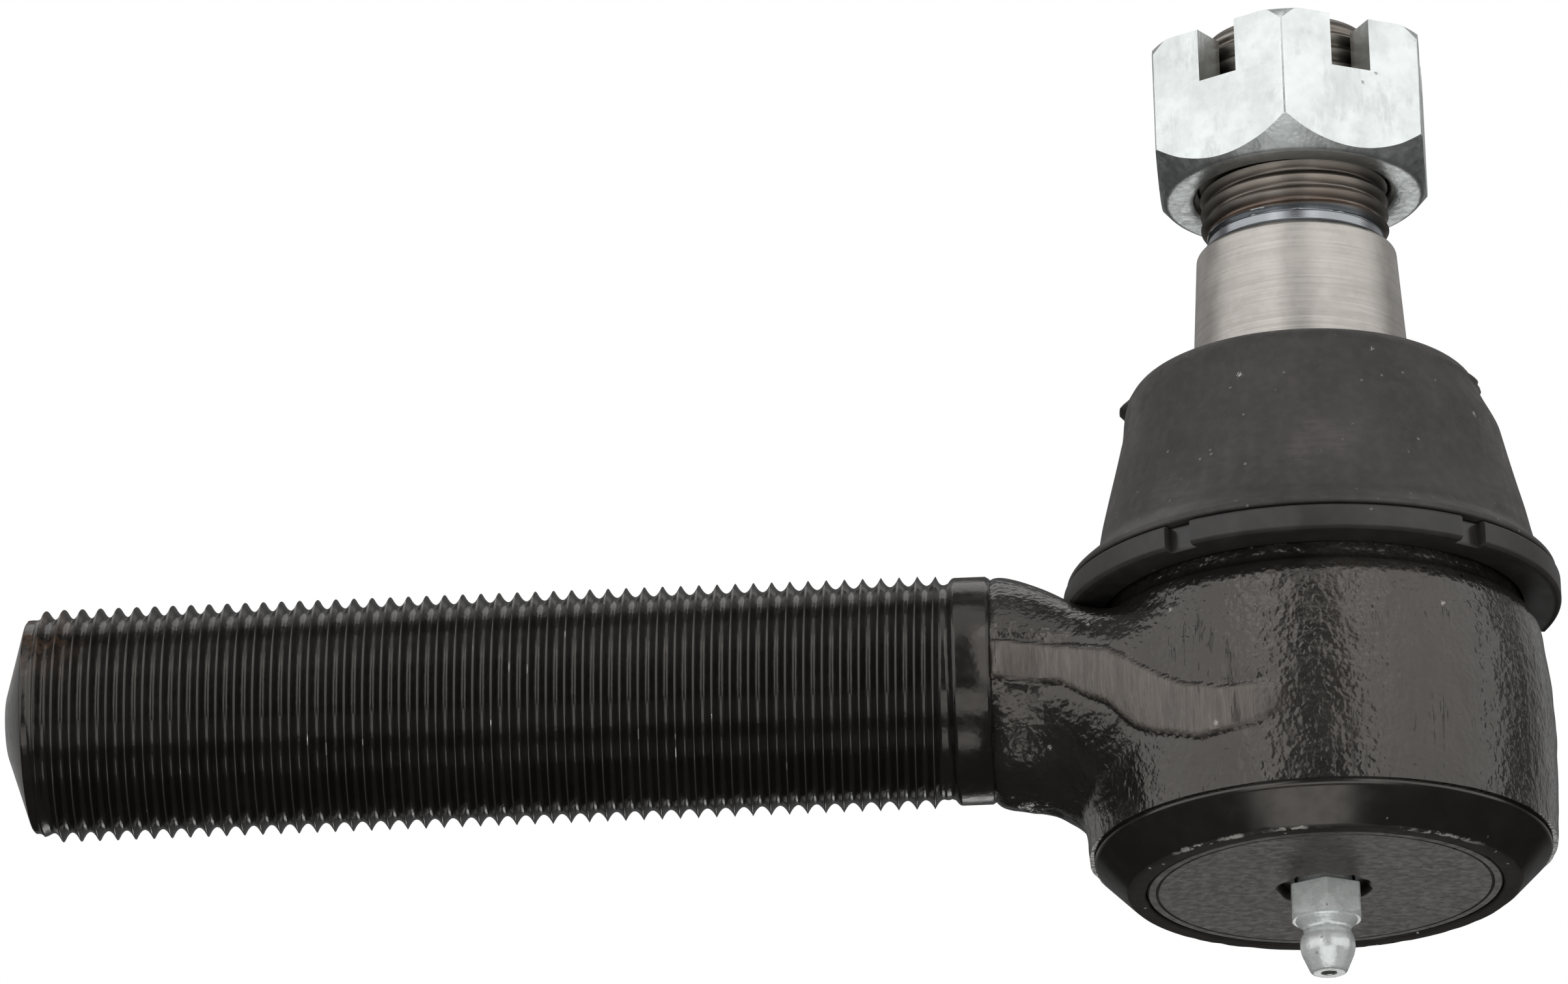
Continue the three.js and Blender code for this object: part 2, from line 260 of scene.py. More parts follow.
def shaded(obj, angle=SHARP):
    obj.data.polygons.foreach_set("use_smooth", [True] * len(obj.data.polygons))
    obj.data.set_sharp_from_angle(angle=angle)
    return obj


def handed_over(obj, body, material, replaces):
    """Gives a finished piece its finish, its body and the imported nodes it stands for."""
    obj.data.materials.clear()
    obj.data.materials.append(material)
    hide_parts(*replaces)
    if body:
        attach(obj, body)
    return obj


def along_shank(mesh):
    """Turns a mesh made about +Z so that its +Z runs along +X."""
    mesh.transform(Matrix.Rotation(math.pi / 2, 4, "Y"))
    return mesh


# ------------------------------------------------------------------ node helpers
class Wiring:
    """Adds nodes to a tree and links them, from left to right."""

    def __init__(self, tree):
        self.tree = tree
        self.column = 0

    def new(self, kind, **settings):
        node = self.tree.nodes.new(kind)
        node.location = (self.column * 180, -40 * (self.column % 5))
        self.column += 1
        for key, value in settings.items():
            setattr(node, key, value)
        return node

    def add(self, kind, outputs=0, settings=None, **inputs):
        node = self.new(kind, **(settings or {}))
        for key, value in inputs.items():
            self.feed(node.inputs[key.replace("_", " ")], value)
        return node.outputs[outputs]

    def feed(self, socket, value):
        if isinstance(value, bpy.types.NodeSocket):
            self.tree.links.new(value, socket)
        elif value is not None:
            socket.default_value = value

    def math(self, operation, *values):
        node = self.new("ShaderNodeMath", operation=operation)
        for socket, value in zip(node.inputs, values):
            self.feed(socket, value)
        return node.outputs[0]

    def times(self, first, second):
        return self.math("MULTIPLY", first, second)

    def times_plus(self, value, factor, base):
        """value * factor + base"""
        return self.math("MULTIPLY_ADD", value, factor, base)

    def minus(self, first, second):
        return self.math("SUBTRACT", first, second)

    def smooth(self, value, low, high):
        """0 before low, 1 past high and a soft step between. low may be the larger of the two."""
        node = self.new("ShaderNodeMapRange", interpolation_type="SMOOTHSTEP")
        for name, each in (("Value", value), ("From Min", low), ("From Max", high)):
            self.feed(node.inputs[name], each)
        return node.outputs[0]

    def near(self, value, middle, inner, outer):
        """1 where the value is within inner of the middle, 0 where it is further than outer."""
        away = self.math("ABSOLUTE", self.minus(value, middle))
        return self.minus(1.0, self.smooth(away, inner, outer))

    def mix(self, share, first, second):
        node = self.new("ShaderNodeMix", data_type="RGBA")
        for index, each in ((0, share), (6, first), (7, second)):
            self.feed(node.inputs[index], each)
        return node.outputs[2]


def rgba(colour, scale=1.0):
    return (*[min(1, c * scale) for c in colour], 1)


# ------------------------------------------------------------------ geometry node trees
THREAD_SOCKETS = {
    "Major": ("NodeSocketFloat", 0.01),
    "Minor": ("NodeSocketFloat", 0.009),
    "Pitch": ("NodeSocketFloat", 0.002),
    "Length": ("NodeSocketFloat", 0.02),
    "Hand": ("NodeSocketFloat", 1.0),
    "Lead In": ("NodeSocketFloat", 0.001),
    "Run Out": ("NodeSocketFloat", 0.001),
    "Sharpness": ("NodeSocketFloat", 1.5),
    "Around": ("NodeSocketInt", 96),
    "Rows": ("NodeSocketInt", 81),
    "Material": ("NodeSocketMaterial", None),
}
THREAD_STEPS = 12  # rows of points in one turn of a thread


def node_tree(name, sockets, geometry_in=True):
    tree = bpy.data.node_groups.new(name, "GeometryNodeTree")
    if geometry_in:
        tree.interface.new_socket("Geometry", in_out="INPUT", socket_type="NodeSocketGeometry")
    tree.interface.new_socket("Geometry", in_out="OUTPUT", socket_type="NodeSocketGeometry")
    for label, (kind, default) in sockets.items():
        socket = tree.interface.new_socket(label, in_out="INPUT", socket_type=kind)
        if default is not None:
            socket.default_value = default
    wiring = Wiring(tree)
    given = tree.nodes.new("NodeGroupInput")
    return tree, wiring, given.outputs


def end_tree(tree, wiring, geometry, material):
    real = wiring.add("GeometryNodeRealizeInstances", Geometry=geometry)
    shown = wiring.add("GeometryNodeSetMaterial", Geometry=real, Material=material)
    result = tree.nodes.new("NodeGroupOutput")
    tree.links.new(shown, result.inputs[0])
    return tree


def thread_tree():
    """A screw thread about +Z: a sheared sheet of rows wound round the axis, sharp crests and round roots."""
    tree, w, given = node_tree("Screw thread", THREAD_SOCKETS)
    sheet = tree.nodes.new("GeometryNodeMeshGrid")
    for name, value in (("Size X", 1.0), ("Size Y", 1.0)):
        sheet.inputs[name].default_value = value
    tree.links.new(given["Rows"], sheet.inputs["Vertices X"])
    tree.links.new(w.math("ADD", given["Around"], 1.0), sheet.inputs["Vertices Y"])
    split = tree.nodes.new("ShaderNodeSeparateXYZ")
    tree.links.new(w.add("GeometryNodeInputPosition"), split.inputs[0])
    turns = w.math("DIVIDE", given["Length"], given["Pitch"])
    along = w.times(w.math("ADD", split.outputs["X"], 0.5), w.math("ADD", turns, 1.0))
    shift = w.times(split.outputs["Y"], given["Hand"])
    raw = w.times(w.math("ADD", w.minus(along, 0.5), shift), given["Pitch"])
    height = w.math("MAXIMUM", w.math("MINIMUM", raw, given["Length"]), 0.0)
    fraction = w.math("FRACT", along)
    ridge = w.minus(1.0, w.math("ABSOLUTE", w.times_plus(fraction, 2.0, -1.0)))
    profile = w.math("POWER", ridge, given["Sharpness"])
    lead_in = w.smooth(height, 0.0, given["Lead In"])
    to_end = w.minus(given["Length"], height)
    run_out = w.smooth(to_end, 0.0, given["Run Out"])
    crest = w.times(profile, w.times(lead_in, run_out))
    depth = w.minus(given["Major"], given["Minor"])
    radius = w.times_plus(crest, depth, given["Minor"])
    angle = w.times(w.math("ADD", split.outputs["Y"], 0.5), TURN)
    place = w.add(
        "ShaderNodeCombineXYZ",
        X=w.times(radius, w.math("COSINE", angle)),
        Y=w.times(radius, w.math("SINE", angle)),
        Z=height,
    )
    stored = w.add(
        "GeometryNodeStoreNamedAttribute", settings={"data_type": "FLOAT", "domain": "POINT"},
        Geometry=sheet.outputs["Mesh"], Name="crest", Value=crest,
    )
    wound = w.add("GeometryNodeSetPosition", Geometry=stored, Position=place)
    welded = w.add("GeometryNodeMergeByDistance", Geometry=wound, Distance=2e-6)
    return end_tree(tree, w, welded, given["Material"])


COIL_SOCKETS = {
    "Coil Radius": ("NodeSocketFloat", 0.015),
    "Wire Radius": ("NodeSocketFloat", 0.001),
    "Turns": ("NodeSocketFloat", 2.0),
    "Rise": ("NodeSocketFloat", 0.004),
    "Base": ("NodeSocketFloat", 0.0),
    "Steps": ("NodeSocketInt", 60),
    "Material": ("NodeSocketMaterial", None),
}


def coil_tree():
    """A round wire wound about +Z, with closed ends."""
    tree, w, given = node_tree("Wound coil", COIL_SOCKETS)
    path = tree.nodes.new("GeometryNodeCurveSpiral")
    for name, source in (("Resolution", "Steps"), ("Rotations", "Turns"), ("Start Radius", "Coil Radius"),
                         ("End Radius", "Coil Radius"), ("Height", "Rise")):
        tree.links.new(given[source], path.inputs[name])
    wire = tree.nodes.new("GeometryNodeCurvePrimitiveCircle")
    wire.inputs["Resolution"].default_value = 14
    tree.links.new(given["Wire Radius"], wire.inputs["Radius"])
    solid = tree.nodes.new("GeometryNodeCurveToMesh")
    tree.links.new(path.outputs[0], solid.inputs["Curve"])
    tree.links.new(wire.outputs[0], solid.inputs["Profile Curve"])
    solid.inputs["Fill Caps"].default_value = True
    lift = w.add("ShaderNodeCombineXYZ", Z=given["Base"])
    raised = w.add("GeometryNodeTransform", Geometry=solid.outputs[0], Translation=lift)
    return end_tree(tree, w, raised, given["Material"])


SLOT_SOCKETS = {
    "Count": ("NodeSocketInt", 6),
    "Distance": ("NodeSocketFloat", 0.02),
    "Depth": ("NodeSocketFloat", 0.002),
    "Width": ("NodeSocketFloat", 0.003),
    "Height": ("NodeSocketFloat", 0.01),
    "Level": ("NodeSocketFloat", 0.0),
    "First Angle": ("NodeSocketFloat", 0.0),
    "Material": ("NodeSocketMaterial", None),
}


def slots_tree():
    """Cuts a ring of equal slots, spaced evenly about +Z, out of the piece."""
    tree, w, given = node_tree("Ring of slots", SLOT_SOCKETS)
    size = w.add("ShaderNodeCombineXYZ", X=given["Depth"], Y=given["Width"], Z=given["Height"])
    bar = tree.nodes.new("GeometryNodeMeshCube")
    tree.links.new(size, bar.inputs["Size"])
    out = w.add("ShaderNodeCombineXYZ", X=given["Distance"], Z=given["Level"])
    placed = w.add("GeometryNodeTransform", Geometry=bar.outputs[0], Translation=out)
    points = tree.nodes.new("GeometryNodePoints")
    tree.links.new(given["Count"], points.inputs["Count"])
    index = w.add("GeometryNodeInputIndex")
    step = w.math("DIVIDE", TURN, given["Count"])
    angle = w.times_plus(index, step, given["First Angle"])
    turned = w.add("ShaderNodeCombineXYZ", Z=angle)
    bars = tree.nodes.new("GeometryNodeInstanceOnPoints")
    tree.links.new(points.outputs[0], bars.inputs["Points"])
    tree.links.new(placed, bars.inputs["Instance"])
    tree.links.new(turned, bars.inputs["Rotation"])
    tools = w.add("GeometryNodeRealizeInstances", Geometry=bars.outputs[0])
    cut = tree.nodes.new("GeometryNodeMeshBoolean")
    cut.operation, cut.solver = "DIFFERENCE", "EXACT"
    tree.links.new(given["Geometry"], cut.inputs["Mesh 1"])
    tree.links.new(tools, cut.inputs["Mesh 2"])
    return end_tree(tree, w, cut.outputs[0], given["Material"])


def grown(obj, tree, values):
    """Runs a geometry node tree on the object with the named inputs, and makes the result plain."""
    change = obj.modifiers.new(tree.name, "NODES")
    change.node_group = tree
    known = {item.name: item.identifier for item in tree.interface.items_tree if item.in_out == "INPUT"}
    for label, value in values.items():
        change[known[label]] = value
    return applied(obj)


def once(name, builder):
    """A node tree by name, built the first time that it is asked for."""
    return bpy.data.node_groups.get(name) or builder()


def thread_mesh(major, minor, pitch, length, hand, lead_in, run_out, sharpness, around, material):
    turns = length / pitch
    host = piece("thread", bpy.data.meshes.new("thread"))
    rows = round((turns + 1) * THREAD_STEPS)
    grown(host, once("Screw thread", thread_tree), {
        "Major": major, "Minor": minor, "Pitch": length * THREAD_STEPS / (rows - THREAD_STEPS),
        "Length": length, "Hand": hand, "Lead In": lead_in, "Run Out": run_out,
        "Sharpness": sharpness, "Around": around, "Rows": rows + 1, "Material": material,
    })
    mesh = host.data
    bpy.data.objects.remove(host)
    return mesh


def coil_piece(name, values):
    host = piece(name, bpy.data.meshes.new(name))
    return grown(host, once("Wound coil", coil_tree), values)


# ------------------------------------------------------------------ shared shader groups
def shader_group(name, sockets):
    tree = bpy.data.node_groups.new(name, "ShaderNodeTree")
    for label, (kind, default) in sockets.items():
        tree.interface.new_socket(label, in_out="INPUT", socket_type=kind).default_value = default
    tree.interface.new_socket("Value", in_out="OUTPUT", socket_type="NodeSocketFloat")
    given = tree.nodes.new("NodeGroupInput")
    return tree, Wiring(tree), given.outputs


def end_group(tree, value):
    result = tree.nodes.new("NodeGroupOutput")
    tree.links.new(value, result.inputs[0])
    return tree


PLACE = ("NodeSocketVector", (0, 0, 0))
ONE = ("NodeSocketFloat", 1.0)


def mottle_group():
    """Soft clouds: 0 where the noise is under Low and 1 where it is over High."""
    tree, w, given = shader_group("Mottle", {
        "Place": PLACE, "Scale": ONE, "Low": ("NodeSocketFloat", 0.4), "High": ("NodeSocketFloat", 0.6)})
    cloud = w.add("ShaderNodeTexNoise", Vector=given["Place"], Scale=given["Scale"], Detail=4.0,
                  Roughness=0.6)
    return end_group(tree, w.smooth(cloud, given["Low"], given["High"]))


def relief_group():
    """Low rounded bumps, without the fine grit of the mottle."""
    tree, w, given = shader_group("Relief", {"Place": PLACE, "Scale": ONE})
    bumps = w.add("ShaderNodeTexNoise", Vector=given["Place"], Scale=given["Scale"], Detail=1.0,
                  Roughness=0.4)
    return end_group(tree, bumps)


def specks_group():
    """Small scattered grains: Share of the cells have one, Size is its radius in cells."""
    tree, w, given = shader_group("Specks", {
        "Place": PLACE, "Scale": ONE, "Size": ("NodeSocketFloat", 0.2), "Share": ("NodeSocketFloat", 0.1)})
    ragged = w.add("ShaderNodeTexNoise", Vector=given["Place"], Scale=6.0)
    cells = w.add("ShaderNodeTexVoronoi", Vector=given["Place"], Scale=given["Scale"]).node
    chance = w.add("ShaderNodeSeparateColor", Color=cells.outputs["Color"])
    chosen = w.math("LESS_THAN", chance, given["Share"])
    edge = w.times_plus(w.minus(ragged, 0.5), 0.35, cells.outputs["Distance"])
    grain = w.minus(1.0, w.smooth(edge, w.times(given["Size"], 0.6), given["Size"]))
    return end_group(tree, w.times(chosen, grain))


def grain_group():
    """Fine lines left by a tool: noise drawn out by a different scale along each axis."""
    tree, w, given = shader_group("Grain", {"Place": PLACE, "Fineness": ("NodeSocketVector", (1, 1, 1))})
    drawn = w.new("ShaderNodeVectorMath", operation="MULTIPLY")
    w.feed(drawn.inputs[0], given["Place"])
    w.feed(drawn.inputs[1], given["Fineness"])
    lines = w.add("ShaderNodeTexNoise", Vector=drawn.outputs[0], Scale=1.0, Detail=3.0, Roughness=0.7)
    return end_group(tree, w.smooth(lines, 0.3, 0.7))


class Finish(Wiring):
    """A material under construction. place is the object's own coordinates in millimetres."""

    def __init__(self, name, plain):
        self.material = bpy.data.materials.new(name + "_finish")
        self.material.use_nodes = True
        tree = self.material.node_tree
        tree.nodes.clear()
        super().__init__(tree)
        self.shader = tree.nodes.new("ShaderNodeBsdfPrincipled")
        self.shader.location = (2600, 0)
        surface = tree.nodes.new("ShaderNodeOutputMaterial")
        surface.location = (2900, 0)
        tree.links.new(self.shader.outputs[0], surface.inputs[0])
        for key, value in plain.items():
            self.shader.inputs[key].default_value = value
        metres = self.add("ShaderNodeTexCoord", outputs="Object")
        scaled = self.add("ShaderNodeVectorMath", settings={"operation": "SCALE"}, Scale=1 / MM)
        tree.links.new(metres, scaled.node.inputs[0])
        self.place = scaled
        split = tree.nodes.new("ShaderNodeSeparateXYZ")
        tree.links.new(scaled, split.inputs[0])
        self.x, self.y, self.z = split.outputs

    def group(self, name, builder, **values):
        node = self.new("ShaderNodeGroup", node_tree=once(name, builder))
        self.feed(node.inputs["Place"], self.place)
        for key, value in values.items():
            self.feed(node.inputs[key], value)
        return node.outputs[0]

    def mottle(self, scale, low=0.4, high=0.6):
        return self.group("Mottle", mottle_group, Scale=scale, Low=low, High=high)

    def relief(self, scale):
        return self.group("Relief", relief_group, Scale=scale)

    def specks(self, scale, size, share):
        return self.group("Specks", specks_group, Scale=scale, Size=size, Share=share)

    def grain(self, *fineness):
        return self.group("Grain", grain_group, Fineness=fineness)

    def painted_value(self, name):
        return self.add("ShaderNodeAttribute", outputs="Fac", settings={"attribute_name": name})

    def radius(self):
        return self.math("SQRT", self.times_plus(self.x, self.x, self.times(self.y, self.y)))

    def finished(self, colour, roughness, height=None, depth=0.05, metallic=None):
        """Feeds the shader. height is 0 to 1, and depth is how deep that is in millimetres."""
        self.feed(self.shader.inputs["Base Color"], colour)
        self.feed(self.shader.inputs["Roughness"], roughness)
        self.feed(self.shader.inputs["Metallic"], metallic)
        if height is not None:
            relief = self.add("ShaderNodeBump", Height=height, Distance=depth * MM, Strength=1.0)
            self.feed(self.shader.inputs["Normal"], relief)
        return self.material


def colour_of(group, field):
    return tuple(getattr(getattr(bpy.context.scene, group), field))


# ------------------------------------------------------------------ the finishes
CHIP = (0.58, 0.56, 0.53, 1)  # bare steel where the paint has come off
WARM = (1.0, 0.93, 0.87, 1)  # the brownish cast of the old paint's gloss


def forging_paint():
    paint = colour_of("tie_rod_forging", "paint")
    f = Finish("painted_forging", {"Specular IOR Level": 0.74, "Specular Tint": WARM,
                                   "Coat Weight": 0.1, "Coat Roughness": 0.16})
    trim = f.painted_value("trim")
    cloud = f.mottle(0.11, 0.35, 0.7)
    fine = f.mottle(0.9, 0.45, 0.62)
    base = f.mix(cloud, rgba(paint), rgba(paint, 1.9))
    lines = f.times_plus(f.grain(5.5, 5.5, 0.28), 0.45, f.times(f.grain(1.1, 1.1, 0.12), 0.55))
    land = f.mix(lines, (0.034, 0.029, 0.025, 1), (0.125, 0.110, 0.097, 1))
    base = f.mix(trim, base, land)
    chips = f.specks(0.42, 0.14, 0.06)
    base = f.mix(chips, base, (0.30, 0.28, 0.26, 1))
    nicks = f.times(f.smooth(f.grain(1.3, 1.3, 0.10), 0.82, 0.95), f.mottle(0.085, 0.52, 0.60))
    base = f.mix(nicks, base, (0.003, 0.003, 0.003, 1))
    sheen = f.times_plus(fine, 0.06, 0.17)
    sheen = f.times_plus(cloud, 0.06, sheen)
    rough = f.times_plus(trim, 0.18, sheen)
    scored = f.times(trim, f.times(lines, 0.15))
    calm = f.times_plus(trim, -0.7, 1.0)
    bumps = f.times_plus(f.relief(0.55), 0.7, f.times(f.relief(1.5), 0.6))
    height = f.times(calm, bumps)
    height = f.minus(f.math("ADD", height, scored), f.times(nicks, 0.5))
    return f.finished(base, rough, height, depth=0.23)


def thread_paint():
    paint = colour_of("tie_rod_forging", "paint")
    f = Finish("painted_thread", {"Specular IOR Level": 0.62, "Specular Tint": WARM})
    crest = f.painted_value("crest")
    top = f.smooth(crest, 0.86, 0.99)
    worn = f.times(top, f.specks(0.42, 0.36, 0.09))
    smudge = f.times(f.smooth(f.x, -141.0, -146.5), f.smooth(f.z, 1.0, 6.0))
    smudge = f.times(smudge, f.mottle(0.5, 0.42, 0.6))
    base = f.mix(f.mottle(0.12, 0.4, 0.7), rgba(paint, 0.8), rgba(paint, 1.4))
    # The crests are painted lighter grey: partly wear of the paint, partly a painted highlight along each
    # crest.
    base = f.mix(f.times(top, 0.7), base, (0.085, 0.080, 0.076, 1))
    base = f.mix(f.times(smudge, 0.5), base, (0.105, 0.062, 0.040, 1))
    base = f.mix(worn, base, CHIP)
    rough = f.times_plus(f.mottle(0.7, 0.4, 0.7), 0.10, 0.17)
    return f.finished(base, rough, f.relief(1.1), depth=0.03, metallic=f.times(worn, 0.8))


def rim_paint():
    paint = colour_of("tie_rod_forging", "paint")
    f = Finish("painted_rim", {"Specular IOR Level": 0.85, "Specular Tint": WARM})
    ragged = f.times_plus(f.mottle(0.9, 0.2, 0.8), 0.5, 22.2)
    outer = f.near(f.radius(), ragged, 0.10, 0.26)
    lip = f.times(f.smooth(f.z, -25.3, -25.6), outer)
    chips = f.times(lip, f.mottle(0.10, 0.40, 0.50))
    chips = f.times(chips, f.mottle(0.8, 0.42, 0.50))
    chips = f.times(chips, f.smooth(f.y, -13.0, -17.0))
    grit = f.times(f.smooth(f.z, -24.6, -25.4), f.specks(1.3, 0.3, 0.03))
    base = f.mix(f.mottle(0.2, 0.4, 0.7), rgba(paint, 0.9), rgba(paint, 1.5))
    base = f.mix(f.math("MAXIMUM", chips, grit), base, CHIP)
    rough = f.times_plus(f.mottle(0.5, 0.35, 0.7), 0.08, 0.20)
    rough = f.times_plus(f.smooth(f.z, -25.5, -25.8), 0.55, rough)
    height = f.minus(f.relief(0.25), f.times(chips, 0.8))
    return f.finished(base, rough, height, depth=0.05, metallic=f.times(chips, 0.7))


PLATE_EDGE = 20.5  # radius at which the closure plate meets the rim's rolled lip


def plate_paint():
    f = Finish("plate_steel", {"Specular IOR Level": 0.5, "Specular Tint": WARM})
    cloud = f.mottle(0.22, 0.35, 0.68)
    base = f.mix(cloud, (0.058, 0.049, 0.042, 1), (0.100, 0.086, 0.075, 1))
    base = f.mix(f.times(f.mottle(0.6, 0.48, 0.62), 0.35), base, (0.030, 0.025, 0.021, 1))
    base = f.mix(f.specks(0.75, 0.30, 0.20), base, (0.018, 0.016, 0.014, 1))
    base = f.mix(f.specks(1.9, 0.22, 0.05), base, (0.26, 0.24, 0.22, 1))
    # A dark ring where the plate meets the rim's lip: painted shade in the gap between them.
    rim = f.near(f.radius(), PLATE_EDGE, 0.10, 0.35)
    base = f.mix(f.times(rim, 0.85), base, (0.012, 0.011, 0.010, 1))
    # The plate round the torn hole is painted almost black: painted shade in the hole.
    centre = f.minus(1.0, f.smooth(f.radius(), 5.0, 5.7))
    base = f.mix(f.times(centre, 0.9), base, (0.010, 0.009, 0.008, 1))
    rough = f.times_plus(f.mottle(0.9, 0.35, 0.68), 0.10, 0.42)
    height = f.times_plus(f.relief(2.6), 0.5, f.relief(1.1))
    return f.finished(base, rough, height, depth=0.06)


def fitting_zinc():
    f = Finish("zinc_fitting", {"Metallic": 0.3, "Specular IOR Level": 0.8})
    cloud = f.mottle(0.5, 0.30, 0.70)
    base = f.mix(cloud, (0.80, 0.84, 0.825, 1), (0.95, 0.99, 0.975, 1))
    base = f.mix(f.specks(1.4, 0.3, 0.07), base, (0.46, 0.47, 0.46, 1))
    rough = f.times_plus(cloud, 0.10, 0.22)
    return f.finished(base, rough, f.relief(2.5), depth=0.03)


def boot_rubber():
    rubber = colour_of("tie_rod_boot", "rubber")
    f = Finish("boot_rubber", {"Specular IOR Level": 0.4, "Sheen Weight": 0.05})
    cloud = f.mottle(0.07, 0.35, 0.7)
    base = f.mix(cloud, rgba(rubber, 0.64), rgba(rubber, 1.02))
    base = f.mix(f.times(f.mottle(0.8, 0.4, 0.66), 0.30), base, rgba(rubber, 1.6))
    scuff = f.times(f.grain(0.25, 0.25, 1.6), f.mottle(0.08, 0.52, 0.66))
    base = f.mix(f.times(scuff, 0.45), base, rgba(rubber, 2.2))
    base = f.mix(f.specks(0.8, 0.16, 0.16), base, (0.17, 0.16, 0.155, 1))
    base = f.mix(f.specks(0.26, 0.07, 0.12), base, (0.50, 0.48, 0.46, 1))
    # The top lip, where the boot closes round the taper, is painted almost black: painted shade in the joint.
    base = f.mix(f.smooth(f.z, 36.9, 37.8), base, (0.008, 0.0075, 0.007, 1))
    rough = f.times_plus(f.mottle(0.5, 0.35, 0.7), 0.12, 0.50)
    height = f.times_plus(f.relief(2.4), 0.12, f.times(f.relief(0.16), 0.8))
    return f.finished(base, rough, height, depth=0.25)


def band_plastic():
    f = Finish("band_plastic", {"Specular IOR Level": 0.5})
    notch = f.minus(1.0, f.smooth(f.radius(), 27.9, 28.3))
    cloud = f.mottle(0.3, 0.35, 0.7)
    base = f.mix(cloud, (0.024, 0.022, 0.021, 1), (0.042, 0.038, 0.036, 1))
    base = f.mix(f.specks(0.6, 0.12, 0.06), base, (0.22, 0.21, 0.20, 1))
    rough = f.times_plus(cloud, 0.08, 0.46)
    rough = f.times_plus(notch, -0.26, rough)
    rough = f.times_plus(f.smooth(f.z, 8.3, 7.9), 0.4, rough)
    return f.finished(base, rough, f.relief(0.35), depth=0.05)


def stud_steel():
    f = Finish("ground_steel", {"Metallic": 1.0})
    lines = f.times_plus(f.grain(0.06, 0.06, 2.4), 0.6, f.times(f.grain(0.04, 0.04, 7.0), 0.4))
    blotch = f.mottle(0.28, 0.38, 0.66)
    base = f.mix(lines, (0.40, 0.376, 0.350, 1), (0.55, 0.522, 0.492, 1))
    base = f.mix(f.times(f.mottle(0.9, 0.45, 0.65), 0.35), base, (0.40, 0.375, 0.345, 1))
    high = f.smooth(f.z, 42.0, 50.0)
    base = f.mix(f.times(f.times(blotch, high), 0.45), base, (0.62, 0.59, 0.55, 1))
    relief = f.smooth(f.z, 52.4, 53.0)
    base = f.mix(relief, base, (0.33, 0.345, 0.36, 1))
    thread = f.smooth(f.z, 54.9, 55.6)
    crest = f.painted_value("crest")
    # The thread's roots are painted dark, for oil and painted shade in the grooves, and its crests light, as
    # a painted highlight.
    oil_shade_and_crest_highlight = f.mix(f.smooth(crest, 0.1, 0.95), (0.22, 0.195, 0.172, 1), (0.74, 0.70, 0.65, 1))
    base = f.mix(thread, base, oil_shade_and_crest_highlight)
    low_turns = f.times(thread, f.smooth(f.z, 57.2, 55.6))
    rust = f.times(low_turns, f.mottle(0.35, 0.30, 0.55))
    base = f.mix(f.times(rust, 0.55), base, (0.115, 0.055, 0.032, 1))
    ball = f.smooth(f.z, 15.0, 13.6)
    base = f.mix(ball, base, (0.60, 0.59, 0.57, 1))
    rough = f.times_plus(blotch, 0.08, 0.40)
    rough = f.times_plus(relief, -0.18, rough)
    rough = f.times_plus(thread, 0.12, rough)
    rough = f.times_plus(ball, -0.18, rough)
    return f.finished(base, rough, lines, depth=0.012)


def nut_zinc():
    plating = colour_of("tie_rod_nut", "plating")
    f = Finish("zinc_nut", {"Metallic": 1.0})
    cloud = f.mottle(0.2, 0.35, 0.66)
    base = f.mix(cloud, rgba(plating, 0.86), rgba(plating))
    base = f.mix(f.specks(0.6, 0.16, 0.10), base, rgba(plating, 0.45))
    base = f.mix(f.times(f.grain(1.6, 1.6, 0.4), f.mottle(0.12, 0.5, 0.62)), base, rgba(plating, 0.78))
    # The bore and its countersink are painted darker: painted shade in the bore round the stud.
    inside = f.minus(1.0, f.smooth(f.radius(), 11.7, 12.6))
    base = f.mix(f.times(inside, 0.5), base, (0.26, 0.25, 0.235, 1))
    rough = f.times_plus(f.mottle(0.9, 0.35, 0.65), 0.08, 0.36)
    height = f.times_plus(f.relief(2.2), 0.2, f.relief(0.35))
    return f.finished(base, rough, height, depth=0.16)


def plain_steel(name, dark, light, roughness, scale):
    """A machined or drawn steel that is out of sight once assembled."""
    f = Finish(name, {"Metallic": 1.0})
    lines = f.grain(0.3, 0.3, scale)
    base = f.mix(lines, (*dark, 1), (*light, 1))
    base = f.mix(f.times(f.mottle(0.2, 0.5, 0.65), 0.4), base, (*dark, 1))
    rough = f.times_plus(lines, 0.10, roughness)
    return f.finished(base, rough, lines, depth=0.01)


def bearing_steel():
    return plain_steel("bearing_steel", (0.22, 0.21, 0.19), (0.36, 0.34, 0.31), 0.34, 4.0)


def spring_steel():
    return plain_steel("spring_steel", (0.13, 0.12, 0.11), (0.24, 0.22, 0.20), 0.30, 1.5)


def ball_steel():
    return plain_steel("bearing_ball", (0.62, 0.62, 0.60), (0.74, 0.74, 0.72), 0.10, 1.2)


def ring_steel():
    return plain_steel("ring_steel", (0.30, 0.29, 0.27), (0.44, 0.42, 0.40), 0.32, 5.0)


def seal_rubber():
    f = Finish("seal_rubber", {"Specular IOR Level": 0.4})
    base = f.mix(f.mottle(0.4), (0.012, 0.012, 0.012, 1), (0.024, 0.023, 0.022, 1))
    return f.finished(base, f.times_plus(f.mottle(1.0), 0.15, 0.55), f.mottle(2.0), depth=0.03)


FINISHES = {
    "painted_forging": forging_paint,
    "painted_thread": thread_paint,
    "painted_rim": rim_paint,
    "plate_steel": plate_paint,
    "zinc_fitting": fitting_zinc,
    "boot_rubber": boot_rubber,
    "band_plastic": band_plastic,
    "ground_steel": stud_steel,
    "zinc_nut": nut_zinc,
    "bearing_steel": bearing_steel,
    "spring_steel": spring_steel,
    "bearing_ball": ball_steel,
    "ring_steel": ring_steel,
    "seal_rubber": seal_rubber,
}


def finish(name):
    """A finish by name, made the first time that it is asked for."""
    return bpy.data.materials.get(name + "_finish") or FINISHES[name]()


